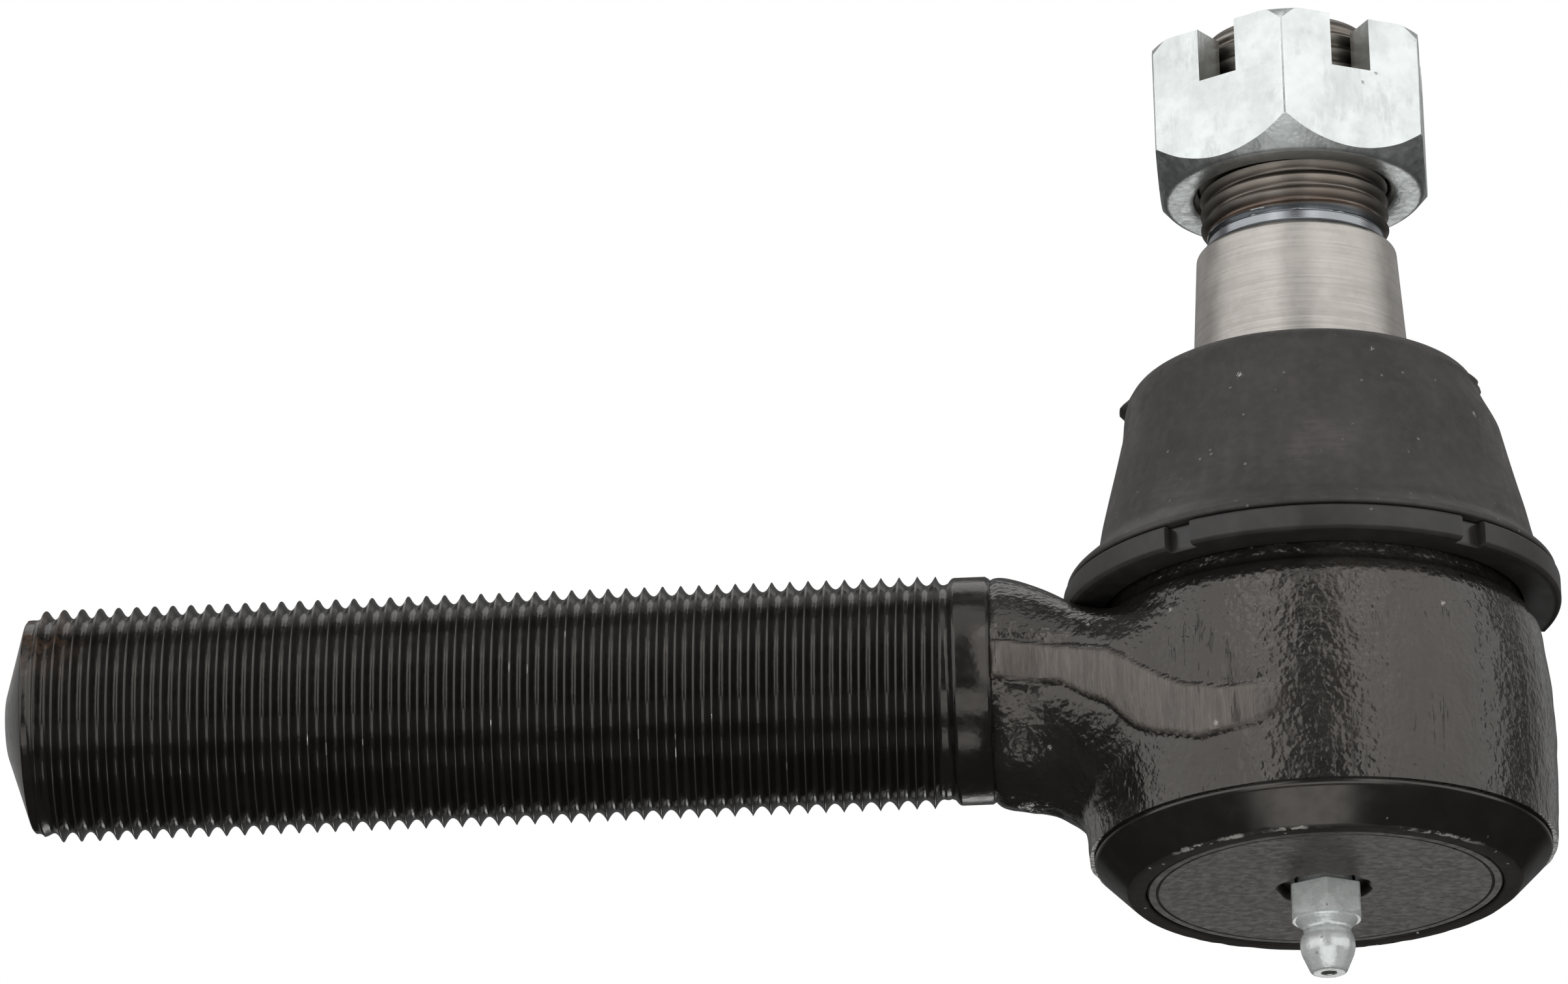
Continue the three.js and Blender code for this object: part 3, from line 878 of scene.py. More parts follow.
# ------------------------------------------------------------------ the forging
NECK_SECTIONS = np.array([  # x, top, bottom and half width of the forged neck, in millimetres
    (-38.2, 12.4, -12.4, 12.4),
    (-36.8, 13.4, -14.0, 13.5),
    (-33.0, 12.3, -14.5, 13.3),
    (-30.0, 10.9, -15.2, 13.6),
    (-27.0, 8.0, -17.0, 15.4),
    (-22.0, 6.0, -19.2, 19.2),
    (-13.0, 4.4, -20.2, 22.6),
])
LAND_TOP = np.array([  # x and z along the upper edge of the trimmed land
    (-37.0, 1.5), (-35.3, 1.4), (-28.3, 0.1), (-23.8, -1.5), (-19.0, -5.5), (-15.3, -8.0), (-11.2, -9.4),
    (-7.5, -9.6), (0.0, -10.4),
])
LAND_BOTTOM = np.array([  # and along its lower edge
    (-37.0, -3.1), (-36.2, -3.2), (-29.5, -4.3), (-27.0, -6.2), (-24.0, -8.2), (-21.2, -11.4), (-18.9, -12.9),
    (-13.8, -15.1), (-7.7, -14.5), (-4.6, -13.4), (-1.0, -13.2),
])
RIM_TOP = -21.35  # where the turned rim meets the forged skin


def neck_mesh():
    sides = 72
    stations = np.linspace(NECK_SECTIONS[0, 0], NECK_SECTIONS[-1, 0], 40)
    top, bottom, half = (np.interp(stations, NECK_SECTIONS[:, 0], NECK_SECTIONS[:, i]) for i in (1, 2, 3))
    angles = np.arange(sides) / sides * TURN
    squareness = np.interp(stations, (-34, -22), (1.0, 0.6))[:, None]
    across, up = (np.sign(wave) * np.abs(wave) ** np.where(np.sin(angles) > 0, squareness, 1.0)
                  for wave in (np.cos(angles), np.sin(angles)))
    points = np.stack([
        np.repeat(stations[:, None], sides, 1),
        half[:, None] * across,
        (top + bottom)[:, None] / 2 + (top - bottom)[:, None] / 2 * up,
    ], -1).reshape(-1, 3) * MM
    faces = [tuple(range(sides)), tuple(range(len(points) - sides, len(points)))]
    for i in range(len(stations) - 1):
        for k in range(sides):
            m = (k + 1) % sides
            faces.append((i * sides + k, i * sides + m, (i + 1) * sides + m, (i + 1) * sides + k))
    return closed_mesh("neck", points, faces)


def points_of(mesh, what="co"):
    values = np.empty(len(mesh.vertices) * 3)
    mesh.vertices.foreach_get(what, values)
    return values.reshape(-1, 3)


def relaxed(mesh, strength, rounds):
    """Moves each point towards the middle of its neighbours, by its own strength."""
    pairs = np.empty(len(mesh.edges) * 2, int)
    mesh.edges.foreach_get("vertices", pairs)
    first, second = pairs.reshape(-1, 2).T
    place = points_of(mesh)
    size = len(place)
    near = np.bincount(np.concatenate([first, second]), minlength=size)
    for _ in range(rounds):
        middle = np.empty_like(place)
        for axis in range(3):
            there = np.concatenate([place[second, axis], place[first, axis]])
            middle[:, axis] = np.bincount(np.concatenate([first, second]), there, size) / near
        place += strength[:, None] * (middle - place)
    mesh.vertices.foreach_set("co", place.ravel())
    mesh.update()
    return place


def noise_at(points, scale, seed=0.0):
    offset = Vector((seed, seed * 1.7, seed * 2.3))
    return np.array([noise.noise(Vector(p) * scale + offset) for p in points])


def land_mask(x, y, z):
    """The trimmed land at the parting line, on both sides of the forging, and the nick along its edges."""
    top = np.interp(x, LAND_TOP[:, 0], LAND_TOP[:, 1])
    bottom = np.interp(x, LAND_BOTTOM[:, 0], LAND_BOTTOM[:, 1])
    edge = np.minimum(top - z, z - bottom)
    where = smoothstep(-37.6, -36.6, x) * (1 - smoothstep(-10, -2, x)) * smoothstep(9, 12, abs(y))
    return smoothstep(0, 0.4, edge) * where, np.exp(-((edge + 0.45) / 0.4) ** 2) * where


def trim_mask(x, y, z):
    """The forging's sides where the trimming die has scored it, beside the land."""
    side = smoothstep(14, 19, abs(y))
    scored = side * smoothstep(-2, 3, x) * (1 - smoothstep(12, 19, x)) * smoothstep(-13, -10, -z)
    return 0.15 * scored * smoothstep(-20.5, -15.0, z)


def forged_socket(settings):
    outer = revolved("forging", [
        (0, -23.5), (26.75, -23.5), (27.0, -21.1), (27.35, -14), (27.5, -8), (27.2, -2.6), (26.8, 0.7),
        (26.35, 3.9), (25.4, 5.7), (24.3, 5.7), (24.3, 12.6), (0, 12.6),
    ])
    body = carved(piece("forged_socket", outer), neck_mesh(), "UNION")
    skin = body.modifiers.new("Skin", "REMESH")
    skin.mode, skin.voxel_size = "VOXEL", settings.voxel
    applied(body)
    mesh = body.data
    x, y, z = points_of(mesh).T / MM
    radius = np.hypot(x, y)
    joining = 1 - smoothstep(-19, -14, x)
    high = smoothstep(4.6, 5.4, z)
    relaxed(mesh, 0.5 * np.maximum(joining * (1 - high * (radius < 26)), 0.15 * (1 - high)), 26)
    flare = smoothstep(-35, -31, x) * (1 - smoothstep(-18, -13, x)) * smoothstep(-14, -9, z)
    relaxed(mesh, 0.5 * flare * (1 - high * (radius < 26)), 120)
    place = points_of(mesh)
    normal = points_of(mesh, "normal")
    x, y, z = place.T / MM
    radius = np.hypot(x, y)
    outside = np.where(x < -26, 1.0, smoothstep(25.2, 26.2, radius)) * (1 - smoothstep(2.5, 4.5, z))
    land, nick = land_mask(x, y, z)
    land = land * smoothstep(0.2, 0.5, abs(normal[:, 1]))
    dents = noise_at(place, 230) + 0.6 * noise_at(place, 560, 3.0)
    neck = 1 - smoothstep(-27, -20, x)
    swell = settings.dents * dents * (1 - land) * outside * (0.75 + 0.9 * neck)
    place += normal * (swell + settings.land * (land - 0.35 * nick))[:, None]
    mesh.vertices.foreach_set("co", place.ravel())
    trim = mesh.attributes.new("trim", "FLOAT", "POINT")
    trim.data.foreach_set("value", np.clip(land + trim_mask(x, y, z), 0, 1).astype(np.float32))
    mesh.update()
    carved(body, revolved("bore", [
        (0, -30), (34, -30), (34, RIM_TOP), (20.9, RIM_TOP), (20.9, 9.0), (15.9, 9.0), (18.6, 12.6),
        (18.6, 15), (0, 15),
    ]))
    return shaded(body, math.radians(48))


def rim_lip(angles, radii, heights):
    """The spun lip's edge is a little uneven where the tool left it."""
    wave = ring_noise(angles, 9, radii * 900)
    inner = 1 - smoothstep(22.4 * MM, 23.2 * MM, radii)
    low = smoothstep(25.2 * MM, 25.8 * MM, -heights)
    return radii + 0.16 * MM * wave * inner * low, heights + 0.10 * MM * np.abs(wave) * inner * low


def machined_rim():
    mesh = revolved("machined_rim", [
        (22.3, RIM_TOP + 0.05), (26.4, RIM_TOP + 0.05), (26.4, -21.75, 0.2), (26.2, -22.1, 0.15),
        (23.0, -25.35), (22.5, -25.8, 0.2), (22.3, -25.9, 0.1), (21.4, -25.9), (20.75, -25.88, 0.12),
        (20.6, -25.7), (20.6, -24.6), (22.3, -24.6),
    ], 240, shape=rim_lip)
    return shaded(piece("machined_rim", mesh), math.radians(40))


class TIEROD_OT_forging(bpy.types.Operator):
    """The forged socket with its neck and trimmed land, and the turned rim that is spun over the plate"""

    bl_idname = "tierod.forging"
    bl_label = "Forged Socket"

    def execute(self, context):
        settings = context.scene.tie_rod_forging
        handed_over(forged_socket(settings), "housing", finish("painted_forging"),
                    ["socket_forging"])
        handed_over(machined_rim(), "housing", finish("painted_rim"), ["socket_forging"])
        return {"FINISHED"}


# ------------------------------------------------------------------ the shank
SHANK_TIP = -152.4
THREAD_START = -149.4
THREAD_END = -42.6
SHANK_SIDES = 80


class TIEROD_OT_shank(bpy.types.Operator):
    """The shank with its left-hand thread, its end cone and its turned collar"""

    bl_idname = "tierod.shank"
    bl_label = "Threaded Shank"

    def execute(self, context):
        sizes = context.scene.tie_rod_threads
        paint = finish("painted_thread")
        root = sizes.shank_minor / MM
        wound = thread_mesh(
            sizes.shank_major, sizes.shank_minor, sizes.shank_pitch, (THREAD_END - THREAD_START) * MM,
            -1.0, 2.4 * MM, 1.2 * MM, 1.9, SHANK_SIDES, paint)
        wound.transform(Matrix.Translation((0, 0, THREAD_START * MM)))
        cone = revolved("cone", [
            (0, SHANK_TIP + 0.25), (2.6, SHANK_TIP + 0.05), (3.5, SHANK_TIP + 0.05, 0.5),
            (root - 0.25, THREAD_START - 0.2), (root, THREAD_START),
        ], SHANK_SIDES, ends_open=True)
        collar = revolved("collar", [
            (root, THREAD_END), (12.6, THREAD_END + 0.4), (13.0, -41.9), (13.25, -41.6, 0.25), (13.25, -37.9),
            (12.9, -37.3, 0.3), (11.5, -37.0), (0, -37.0),
        ], SHANK_SIDES, ends_open=True)
        whole = along_shank(merged([wound, cone, collar], "threaded_shank"))
        shank = shaded(piece("threaded_shank", whole), math.radians(125))
        handed_over(shank, "housing", paint, ["socket_forging"])
        return {"FINISHED"}


# ------------------------------------------------------------------ inside the socket
SEAT = 17.3
INNER_ROUND = [  # name, body, slot, outline and the node it stands for
    ("upper_bearing_shell", "housing", "bearing_steel", "upper_bearing",
     [*arc(SEAT, 0.3, 8.7, 12), (20.3, 8.7), (20.6, 8.4), (20.6, 0.6), (20.3, 0.3)]),
    ("closure_gasket_ring", "housing", "seal_rubber", "closure_gasket",
     [(19.6, -22.3, 0.15), (22.0, -22.3, 0.15), (22.0, -21.5, 0.15), (19.6, -21.5, 0.15)]),
    ("lower_bearing_shell", "seat", "bearing_steel", "lower_bearing",
     [*arc(SEAT, -12.9, -0.3, 16), (20.3, -0.3), (20.6, -0.6), (20.6, -15.2), (20.2, -15.6), (9.8, -15.6),
      (9.6, -15.4), (9.8, -14.3)]),
]


class TIEROD_OT_bearings(bpy.types.Operator):
    """The two bearing shells, the gasket and the coiled preload spring"""

    bl_idname = "tierod.bearings"
    bl_label = "Bearings and Spring"

    def execute(self, context):
        for name, body, slot, node, outline in INNER_ROUND:
            ring = shaded(piece(name, revolved(name, outline, 96)))
            if slot == "bearing_steel":
                grown(ring, once("Ring of slots", slots_tree), {
                    "Count": 6, "Distance": 17.6 * MM, "Depth": 1.2 * MM, "Width": 2.2 * MM,
                    "Height": 60 * MM, "Level": 0.0, "First Angle": 0.3, "Material": finish(slot)})
                shaded(ring)
            handed_over(ring, body, finish(slot), [node])
        steel = finish("spring_steel")
        low, high = -21.0, -17.2
        spring = coil_piece("preload_spring_coil", {
            "Coil Radius": 15.4 * MM, "Wire Radius": 1.3 * MM, "Turns": 1.85, "Rise": (high - low) * MM,
            "Base": low * MM, "Steps": 40, "Material": steel})
        handed_over(shaded(spring), None, steel, ["preload_spring"])
        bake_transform(spring)
        return {"FINISHED"}


# ------------------------------------------------------------------ the closure
def torn_hole(angles, radii, heights):
    """The hole round the fitting is torn, not cut."""
    tear = ring_noise(angles, 2.6, 4.0)
    near = smoothstep(4.2 * MM, 4.9 * MM, radii) * (1 - smoothstep(5.6 * MM, 6.2 * MM, radii))
    return radii * (1 + 0.11 * tear * near), heights


class TIEROD_OT_closure(bpy.types.Operator):
    """The pressed plate that closes the socket"""

    bl_idname = "tierod.closure"
    bl_label = "Closure Plate"

    def execute(self, context):
        mesh = revolved("closure_plate_disc", [
            (3.5, -22.6), (21.8, -22.6), (22.0, -22.8), (22.0, -24.3), (PLATE_EDGE, -24.3),
            (PLATE_EDGE, -25.5), (20.35, -25.7, 0.15), (19.5, -25.7), (19.35, -25.5), (19.15, -25.7),
            (12.0, -25.64), (6.3, -25.7),
            (5.3, -25.7, 0.15), (5.0, -25.2), (4.9, -24.6), (3.5, -24.6),
        ], 180, shape=torn_hole)
        plate = shaded(piece("closure_plate_disc", mesh), math.radians(40))
        handed_over(plate, "housing", finish("plate_steel"), ["closure_plate"])
        return {"FINISHED"}


def hexagon_mesh(across, low, high, corner):
    """An upright six-sided bar with rounded corners, one of them towards -Y."""
    reach = across / 2 / math.cos(math.pi / 6)
    form = bmesh.new()
    corners = [k * TURN / 6 for k in range(6)]
    ring = [form.verts.new((reach * math.sin(a) * MM, -reach * math.cos(a) * MM, low * MM))
            for a in corners]
    base = form.faces.new(ring)
    top = bmesh.ops.extrude_face_region(form, geom=[base])["geom"]
    lifted = [g for g in top if isinstance(g, bmesh.types.BMVert)]
    bmesh.ops.translate(form, verts=lifted, vec=(0, 0, (high - low) * MM))
    upright = [e for e in form.edges if abs(e.verts[0].co.z - e.verts[1].co.z) > 1e-6]
    bmesh.ops.bevel(form, geom=upright, offset=corner * MM, segments=4, profile=0.5, affect="EDGES")
    bmesh.ops.recalc_face_normals(form, faces=form.faces)
    mesh = bpy.data.meshes.new("hexagon")
    form.to_mesh(mesh)
    form.free()
    return mesh


class TIEROD_OT_fitting(bpy.types.Operator):
    """The grease fitting with its check ball and spring"""

    bl_idname = "tierod.fitting"
    bl_label = "Grease Fitting"

    def execute(self, context):
        zinc = finish("zinc_fitting")
        fitting = piece("grease_fitting_body", hexagon_mesh(7.94, -29.6, -25.75, 0.35))
        carved(fitting, revolved("chamfer", [
            (0, -29.6), (3.9, -29.6), (4.7, -29.0), (4.7, -23), (0, -23)], FINE), "INTERSECT")
        carved(fitting, revolved("nipple", [
            (0, -35.9), (2.05, -35.9, 0.35), (3.05, -33.6, 0.4), (3.2, -32.8, 0.4), (3.15, -31.8, 0.4),
            (2.75, -31.1, 0.3), (2.75, -30.5, 0.3), (3.5, -29.9, 0.3), (3.7, -29.3), (3.2, -25.2),
            (3.2, -20.6), (0, -20.6)], FINE), "UNION")
        carved(fitting, revolved("passage", [
            (0, -37), (0.95, -37), (0.95, -35.8), (1.4, -35.0), (1.4, -31.0), (1.0, -30.6), (1.0, -19.6),
            (0, -19.6)], 32))
        handed_over(shaded(fitting, math.radians(28)), "housing", zinc, ["grease_fitting"])
        ball = piece("check_ball_bead", revolved("check_ball_bead", [
            (0, -36.1), *[(1.15 * math.cos(a), -34.95 + 1.15 * math.sin(a))
                          for a in np.linspace(-1.4, 1.4, 15)], (0, -33.8)], 32))
        handed_over(shaded(ball, math.pi), "check_ball", finish("bearing_ball"),
                    ["grease_fitting_ball"])
        coil = coil_piece("check_spring_coil", {
            "Coil Radius": 0.95 * MM, "Wire Radius": 0.2 * MM, "Turns": 3.0, "Rise": 2.1 * MM,
            "Base": -33.4 * MM, "Steps": 16, "Material": finish("spring_steel")})
        handed_over(shaded(coil), None, finish("spring_steel"), ["grease_fitting_spring"])
        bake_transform(coil)
        return {"FINISHED"}


# ------------------------------------------------------------------ the boot and its rings
BOOT_SPLIT = 22.0  # the height at which the boot's wall meets its dome
BOOT_WALL = [
    (24.6, 11.1), (28.35, 11.1, 0.1), (28.5, 11.3, 0.1), (28.5, 11.8, 0.5), (27.2, 13.0, 0.8),
    (25.8, 14.1, 1.2), (25.3, 16.0, 0.8), (24.9, 18.2, 1.0), (24.15, 21.1), (23.92, BOOT_SPLIT),
    (21.67, BOOT_SPLIT), (22.7, 18.0, 1.0), (23.6, 15.2, 0.8), (24.6, 13.6),
]
BOOT_DOME = [
    (23.92, BOOT_SPLIT), (23.0, 25.6, 2.0), (22.3, 28.6), (21.6, 30.8, 1.0), (20.9, 33.2, 0.6),
    (20.65, 33.9), (20.6, 34.1), (20.5, 34.4),
    (19.9, 35.4, 0.7), (18.8, 36.2, 0.8), (16.5, 37.0, 1.0), (13.75, 37.85), (13.5, 37.9), (13.2, 37.8),
    (13.15, 36.9), (14.8, 36.9), (14.8, 34.3), (13.95, 34.3), (13.95, 33.4, 0.3), (15.4, 33.2, 0.8),
    (18.4, 32.0, 1.0), (19.4, 29.5, 0.8), (20.9, 25.0, 1.0), (21.67, BOOT_SPLIT),
]


def dense(outline, step):
    """The outline with its long straight stretches divided, so that it can bend."""
    points = softened(outline)
    filled = []
    for here, after in zip(points, points[1:] + points[:1]):
        parts = max(1, math.ceil(np.linalg.norm(after - here) / step))
        filled += [tuple(here + (after - here) * k / parts) for k in range(parts)]
    return filled


def boot_shape(settings):
    """Adds the torn flash on the shoulder, a tab on one side, and the wall's slight unevenness."""
    def shape(angles, radii, heights):
        r, z = radii / MM, heights / MM
        outer = r > 20.0
        around = angles[:1]
        ragged = ring_noise(around, 3.1, 7.0) + 0.7 * ring_noise(around, 11, 2.0)
        tab = 1 - smoothstep(0.008, 0.030, abs(around / TURN - 0.5))
        fin = smoothstep(33.6, 33.85, z) * (1 - smoothstep(34.15, 34.35, z)) * outer
        side = smoothstep(0.55, 0.95, np.cos(around))
        width = np.clip(ragged + 0.25, 0, 0.9) * side + 0.95 * tab
        uneven = 0.10 * ring_noise(angles, 4, z * 0.12)
        free = smoothstep(14.5, 18.0, z) * (1 - smoothstep(33.5, 36.0, z)) * (r > 15)
        return radii + settings.flash * width * fin + uneven * free * MM, heights
    return shape


def boot_part(name, outline, settings):
    mesh = revolved(name, dense(outline, 1.1), AROUND, shape=boot_shape(settings))
    place = points_of(mesh)
    z = place[:, 2] / MM
    place[:, 0] += settings.lean * smoothstep(13.0, 15.5, z) * (1 - smoothstep(28.6, 33.4, z))
    mesh.vertices.foreach_set("co", place.ravel())
    mesh.update()
    return shaded(piece(name, mesh), math.radians(50))


class TIEROD_OT_boot(bpy.types.Operator):
    """The rubber boot, in a wall and a dome that meet at one joint, and the ring in its neck"""

    bl_idname = "tierod.boot"
    bl_label = "Dust Boot"

    def execute(self, context):
        settings = context.scene.tie_rod_boot
        rubber = finish("boot_rubber")
        wall = boot_part("boot_wall", BOOT_WALL, settings)
        handed_over(wall, None, rubber, ["dust_boot"])
        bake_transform(wall)
        dome = boot_part("boot_dome", BOOT_DOME, settings)
        handed_over(dome, None, rubber, ["dust_boot"])
        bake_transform(dome)
        ring = revolved("boot_neck_band", [
            (13.22, 34.6, 0.15), (14.5, 34.6, 0.15), (14.5, 36.6, 0.15), (13.22, 36.6, 0.15)], 72)
        handed_over(shaded(piece("boot_neck_band", ring)), "boot_neck", finish("ring_steel"),
                    ["boot_neck_ring"])
        return {"FINISHED"}


class TIEROD_OT_band(bpy.types.Operator):
    """The notched plastic band that holds the boot's foot"""

    bl_idname = "tierod.band"
    bl_label = "Boot Band"

    def execute(self, context):
        plastic = finish("band_plastic")
        band = piece("boot_band", revolved("boot_band", [
            (24.6, 7.8), (28.55, 7.8, 0.1), (28.9, 8.15, 0.15), (28.9, 10.5, 0.1), (28.6, 10.8, 0.15),
            (24.6, 10.8)], 180))
        grown(band, once("Ring of slots", slots_tree), {
            "Count": 5, "Distance": 28.9 * MM, "Depth": 3.0 * MM, "Width": 3.4 * MM, "Height": 10 * MM,
            "Level": 9.4 * MM, "First Angle": math.radians(-50.4), "Material": plastic})
        handed_over(shaded(band), "housing", plastic, ["boot_retaining_band"])
        return {"FINISHED"}


# ------------------------------------------------------------------ the stud and its nut
STUD_SIDES = 96
STUD_THREAD = (54.7, 79.0)


class TIEROD_OT_stud(bpy.types.Operator):
    """The ball stud with its ground taper, its thread and its pin hole"""

    bl_idname = "tierod.stud"
    bl_label = "Ball Stud"

    def execute(self, context):
        sizes = context.scene.tie_rod_threads
        steel = finish("ground_steel")
        root = sizes.stud_minor / MM
        low, high = STUD_THREAD
        wound = thread_mesh(sizes.stud_major, sizes.stud_minor, sizes.stud_pitch, (high - low) * MM, 1.0,
                            0.5 * MM, 1.2 * MM, 1.6, STUD_SIDES, steel)
        wound.transform(Matrix.Translation((0, 0, low * MM)))
        shaft = revolved("shaft", [
            (0, -13.5), (10.0, -13.5), *arc(17.0, -13.3, 13.9, 40), (9.65, 14.6), (9.8, 17), (10.8, 23, 3),
            (12.5, 30, 2.5), (13.02, 33, 0.4), (12.42, 42.5), (11.80, 52.4, 0.25), (11.15, 53.1, 0.25),
            (10.4, 53.4, 0.2), (10.4, 54.5, 0.1), (root, low),
        ], STUD_SIDES, ends_open=True)
        cap = revolved("cap", [
            (root, high), (10.05, 79.15), (9.5, 79.8, 0.2), (1.7, 79.8), (1.5, 79.65), (0, 78.2)],
            STUD_SIDES, ends_open=True)
        stud = piece("ball_stud_shaft", merged([shaft, wound, cap], "ball_stud_shaft"))
        hole = revolved("hole", [(0, -20), (2.0, -20), (2.0, 20), (0, 20)], 40)
        along_shank(hole)
        hole.transform(Matrix.Translation((0, 0, 73.6 * MM)))
        carved(stud, hole)
        handed_over(shaded(stud, math.radians(70)), "stud", steel, ["ball_stud"])
        return {"FINISHED"}


class TIEROD_OT_nut(bpy.types.Operator):
    """The chamfered, slotted and plated nut"""

    bl_idname = "tierod.nut"
    bl_label = "Slotted Nut"

    def execute(self, context):
        settings = context.scene.tie_rod_nut
        zinc = finish("zinc_nut")
        nut = piece("slotted_nut_body", hexagon_mesh(settings.flats / MM, 60.1, 77.4, 0.3))
        carved(nut, revolved("chamfers", [
            (0, 60.1), (15.2, 60.1, 0.5), (16.8, 62.0), (18.4, 64.2, 0.8), (18.4, 75.2, 0.6),
            (17.2, 77.4, 0.3), (0, 77.4)], 180), "INTERSECT")
        carved(nut, revolved("bore", [
            (0, 59), (12.5, 59), (12.5, 60.1), (11.9, 60.35), (11.4, 61.2), (11.4, 78), (0, 78)], 96))
        grown(nut, once("Ring of slots", slots_tree), {
            "Count": 6, "Distance": 16 * MM, "Depth": 12 * MM, "Width": settings.slot, "Height": 10 * MM,
            "Level": 75.8 * MM, "First Angle": 0.0, "Material": zinc})
        bevelled(nut, 0.16 * MM)
        nut.data.transform(Matrix.Rotation(math.radians(-2.8), 4, "Z"))
        handed_over(shaded(nut, math.radians(38)), "nut", zinc, ["slotted_nut"])
        return {"FINISHED"}


# ------------------------------------------------------------------ the studio
CAMERA_PLACE = (-0.01815, -0.99732, -0.35475)
CAMERA_RIGHT = (0.99842, 0.05161, -0.02238)
CAMERA_UP = (0.03928, -0.35464, 0.93418)
CAMERA_BACK = (0.04027, -0.93358, -0.35611)
SOFTBOXES = [  # name, azimuth from the front towards +X, elevation, distance, width, height, brightness
    ("left_softbox", -56, 17, 1.1, 1.9, 1.3, 1.12),
    ("right_softbox", 58, 17, 1.1, 1.9, 1.3, 1.08),
    ("top_softbox", 180, 66, 1.3, 1.2, 0.6, 0.9),
    ("high_front_softbox", 0, 57, 1.2, 1.3, 0.82, 0.8),
    ("low_back_softbox", 175, -20, 1.05, 0.3, 0.24, 1.7),
    ("low_front_softbox", 0, -31, 0.7, 0.9, 0.3, 1.3),
    ("under_softbox", 0, -70, 0.38, 0.2, 0.12, 1.2),
    ("left_strip", -23, 17, 1.05, 0.28, 1.2, 0.40),
    ("right_strip", 25, 17, 1.05, 0.28, 1.2, 0.34),
    ("back_left_softbox", -140, 24, 1.3, 0.8, 1.0, 0.30),
    ("back_right_softbox", 140, 24, 1.3, 0.8, 1.0, 0.30),
]
FLOOR_SHADE = (0.62, 0.615, 0.60, 1)
FLOOR_IN_REFLECTIONS = (0.11, 0.11, 0.105, 1)
FLOOR_GLOW = (0.45, 0.45, 0.44, 1)


def floor_finish():
    """A floor that stays pale from every side, and shows a darker tone in reflections."""
    f = Finish("studio_floor", {"Specular IOR Level": 0.2, "Emission Strength": 1.0})
    seen = f.add("ShaderNodeLightPath", outputs="Is Camera Ray")
    base = f.mix(seen, FLOOR_IN_REFLECTIONS, FLOOR_SHADE)
    f.feed(f.shader.inputs["Emission Color"], f.mix(seen, (0, 0, 0, 1), FLOOR_GLOW))
    return f.finished(base, f.times_plus(f.mottle(0.01), 0.1, 0.7))


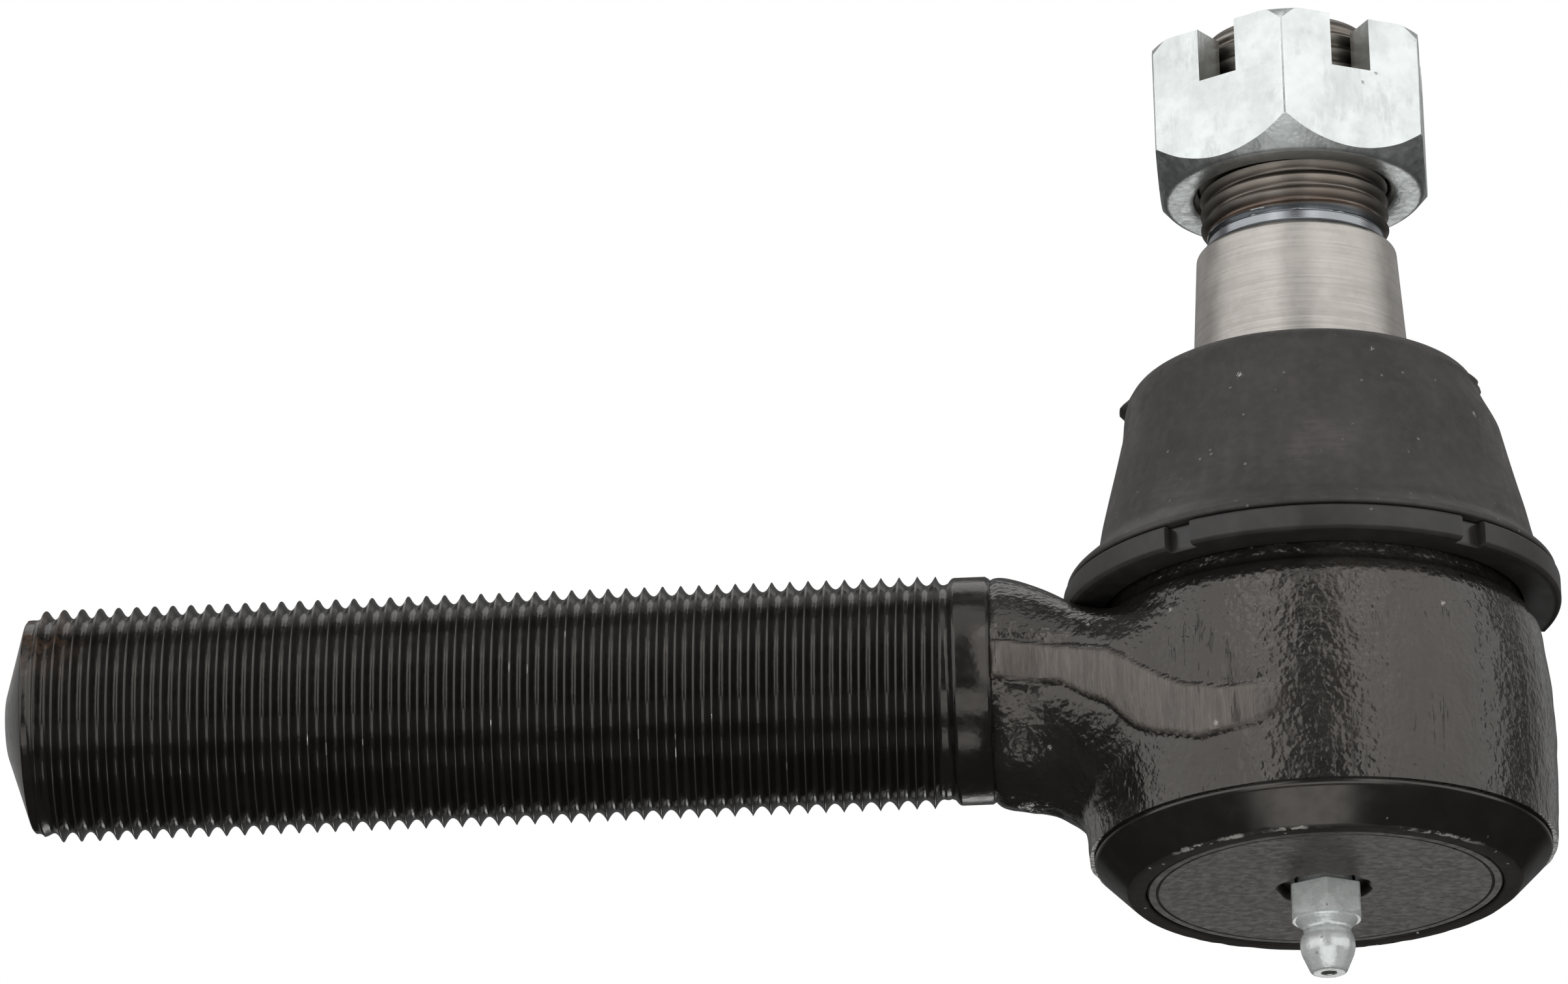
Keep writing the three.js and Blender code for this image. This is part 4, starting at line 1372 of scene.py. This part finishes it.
class TIEROD_OT_stage(bpy.types.Operator):
    """The pale floor, the soft light, the background and the camera"""

    bl_idname = "tierod.stage"
    bl_label = "Studio"

    def execute(self, context):
        settings = context.scene.tie_rod_studio
        form = bmesh.new()
        bmesh.ops.create_grid(form, x_segments=8, y_segments=8, size=6.0)
        mesh = bpy.data.meshes.new("studio_floor")
        form.to_mesh(mesh)
        form.free()
        mesh.transform(Matrix.Translation((0, 0, -settings.floor_drop)))
        floor = piece("studio_floor", mesh)
        mesh.materials.append(floor_finish())
        for name, azimuth, elevation, distance, width, height, bright in SOFTBOXES:
            self.softbox(name, math.radians(azimuth), math.radians(elevation), distance, width, height,
                         bright * settings.tent)
        self.background(context, settings)
        lens = bpy.data.cameras.new("camera")
        lens.sensor_width, lens.lens = 36, settings.lens
        lens.clip_start, lens.clip_end = 0.05, 50
        camera = bpy.data.objects.new("camera", lens)
        columns = Matrix((CAMERA_RIGHT, CAMERA_UP, CAMERA_BACK)).transposed()
        camera.matrix_world = Matrix.Translation(CAMERA_PLACE) @ columns.to_4x4()
        context.scene.collection.objects.link(camera)
        context.scene.camera = camera
        context.scene.view_settings.view_transform = "Standard"
        return {"FINISHED"}

    def softbox(self, name, azimuth, elevation, distance, width, height, bright):
        light = bpy.data.lights.new(name, "AREA")
        light.shape, light.size, light.size_y = "RECTANGLE", width, height
        light.energy = bright * math.pi * width * height
        box = bpy.data.objects.new(name, light)
        towards = Vector((math.sin(azimuth) * math.cos(elevation), -math.cos(azimuth) * math.cos(elevation),
                          math.sin(elevation)))
        box.matrix_world = Matrix.Translation(towards * distance + Vector((-0.04, 0, 0.02))) @ \
            towards.to_track_quat("Z", "Y").to_matrix().to_4x4()
        box.visible_camera = False
        bpy.context.scene.collection.objects.link(box)

    def background(self, context, settings):
        world = bpy.data.worlds.new("studio")
        world.use_nodes = True
        tree = world.node_tree
        tree.nodes.clear()
        w = Wiring(tree)
        seen = w.add("ShaderNodeLightPath", outputs="Is Camera Ray")
        shade = w.mix(seen, (0.12, 0.12, 0.12, 1), (1, 1, 1, 1))
        light = w.add("ShaderNodeBackground", Color=shade, Strength=1.0)
        surface = tree.nodes.new("ShaderNodeOutputWorld")
        tree.links.new(light, surface.inputs[0])
        context.scene.world = world


class TIEROD_PT_build(bpy.types.Panel):
    """Lists the steps and the sizes"""

    bl_idname = "TIEROD_PT_build"
    bl_label = "Tie Rod End"
    bl_space_type = "VIEW_3D"
    bl_region_type = "UI"
    bl_category = "Tie Rod"

    def draw(self, context):
        for name, kind in SETTINGS.items():
            box = self.layout.box()
            for field in kind.__annotations__:
                box.prop(getattr(context.scene, name), field)
        for step in STEPS:
            self.layout.operator(step.bl_idname)


STEPS = [
    TIEROD_OT_stage,
    TIEROD_OT_forging,
    TIEROD_OT_shank,
    TIEROD_OT_bearings,
    TIEROD_OT_closure,
    TIEROD_OT_fitting,
    TIEROD_OT_boot,
    TIEROD_OT_band,
    TIEROD_OT_stud,
    TIEROD_OT_nut,
]


def register():
    for kind in [*SETTINGS.values(), *STEPS, TIEROD_PT_build]:
        bpy.utils.register_class(kind)
    for name, kind in SETTINGS.items():
        setattr(bpy.types.Scene, name, bpy.props.PointerProperty(type=kind))


def unregister():
    for name in SETTINGS:
        delattr(bpy.types.Scene, name)
    for kind in [TIEROD_PT_build, *reversed(STEPS), *SETTINGS.values()]:
        bpy.utils.unregister_class(kind)


def main():
    register()
    for step in STEPS:
        family, action = step.bl_idname.split(".")
        getattr(getattr(bpy.ops, family), action)()


if __name__ == "__main__":
    main()
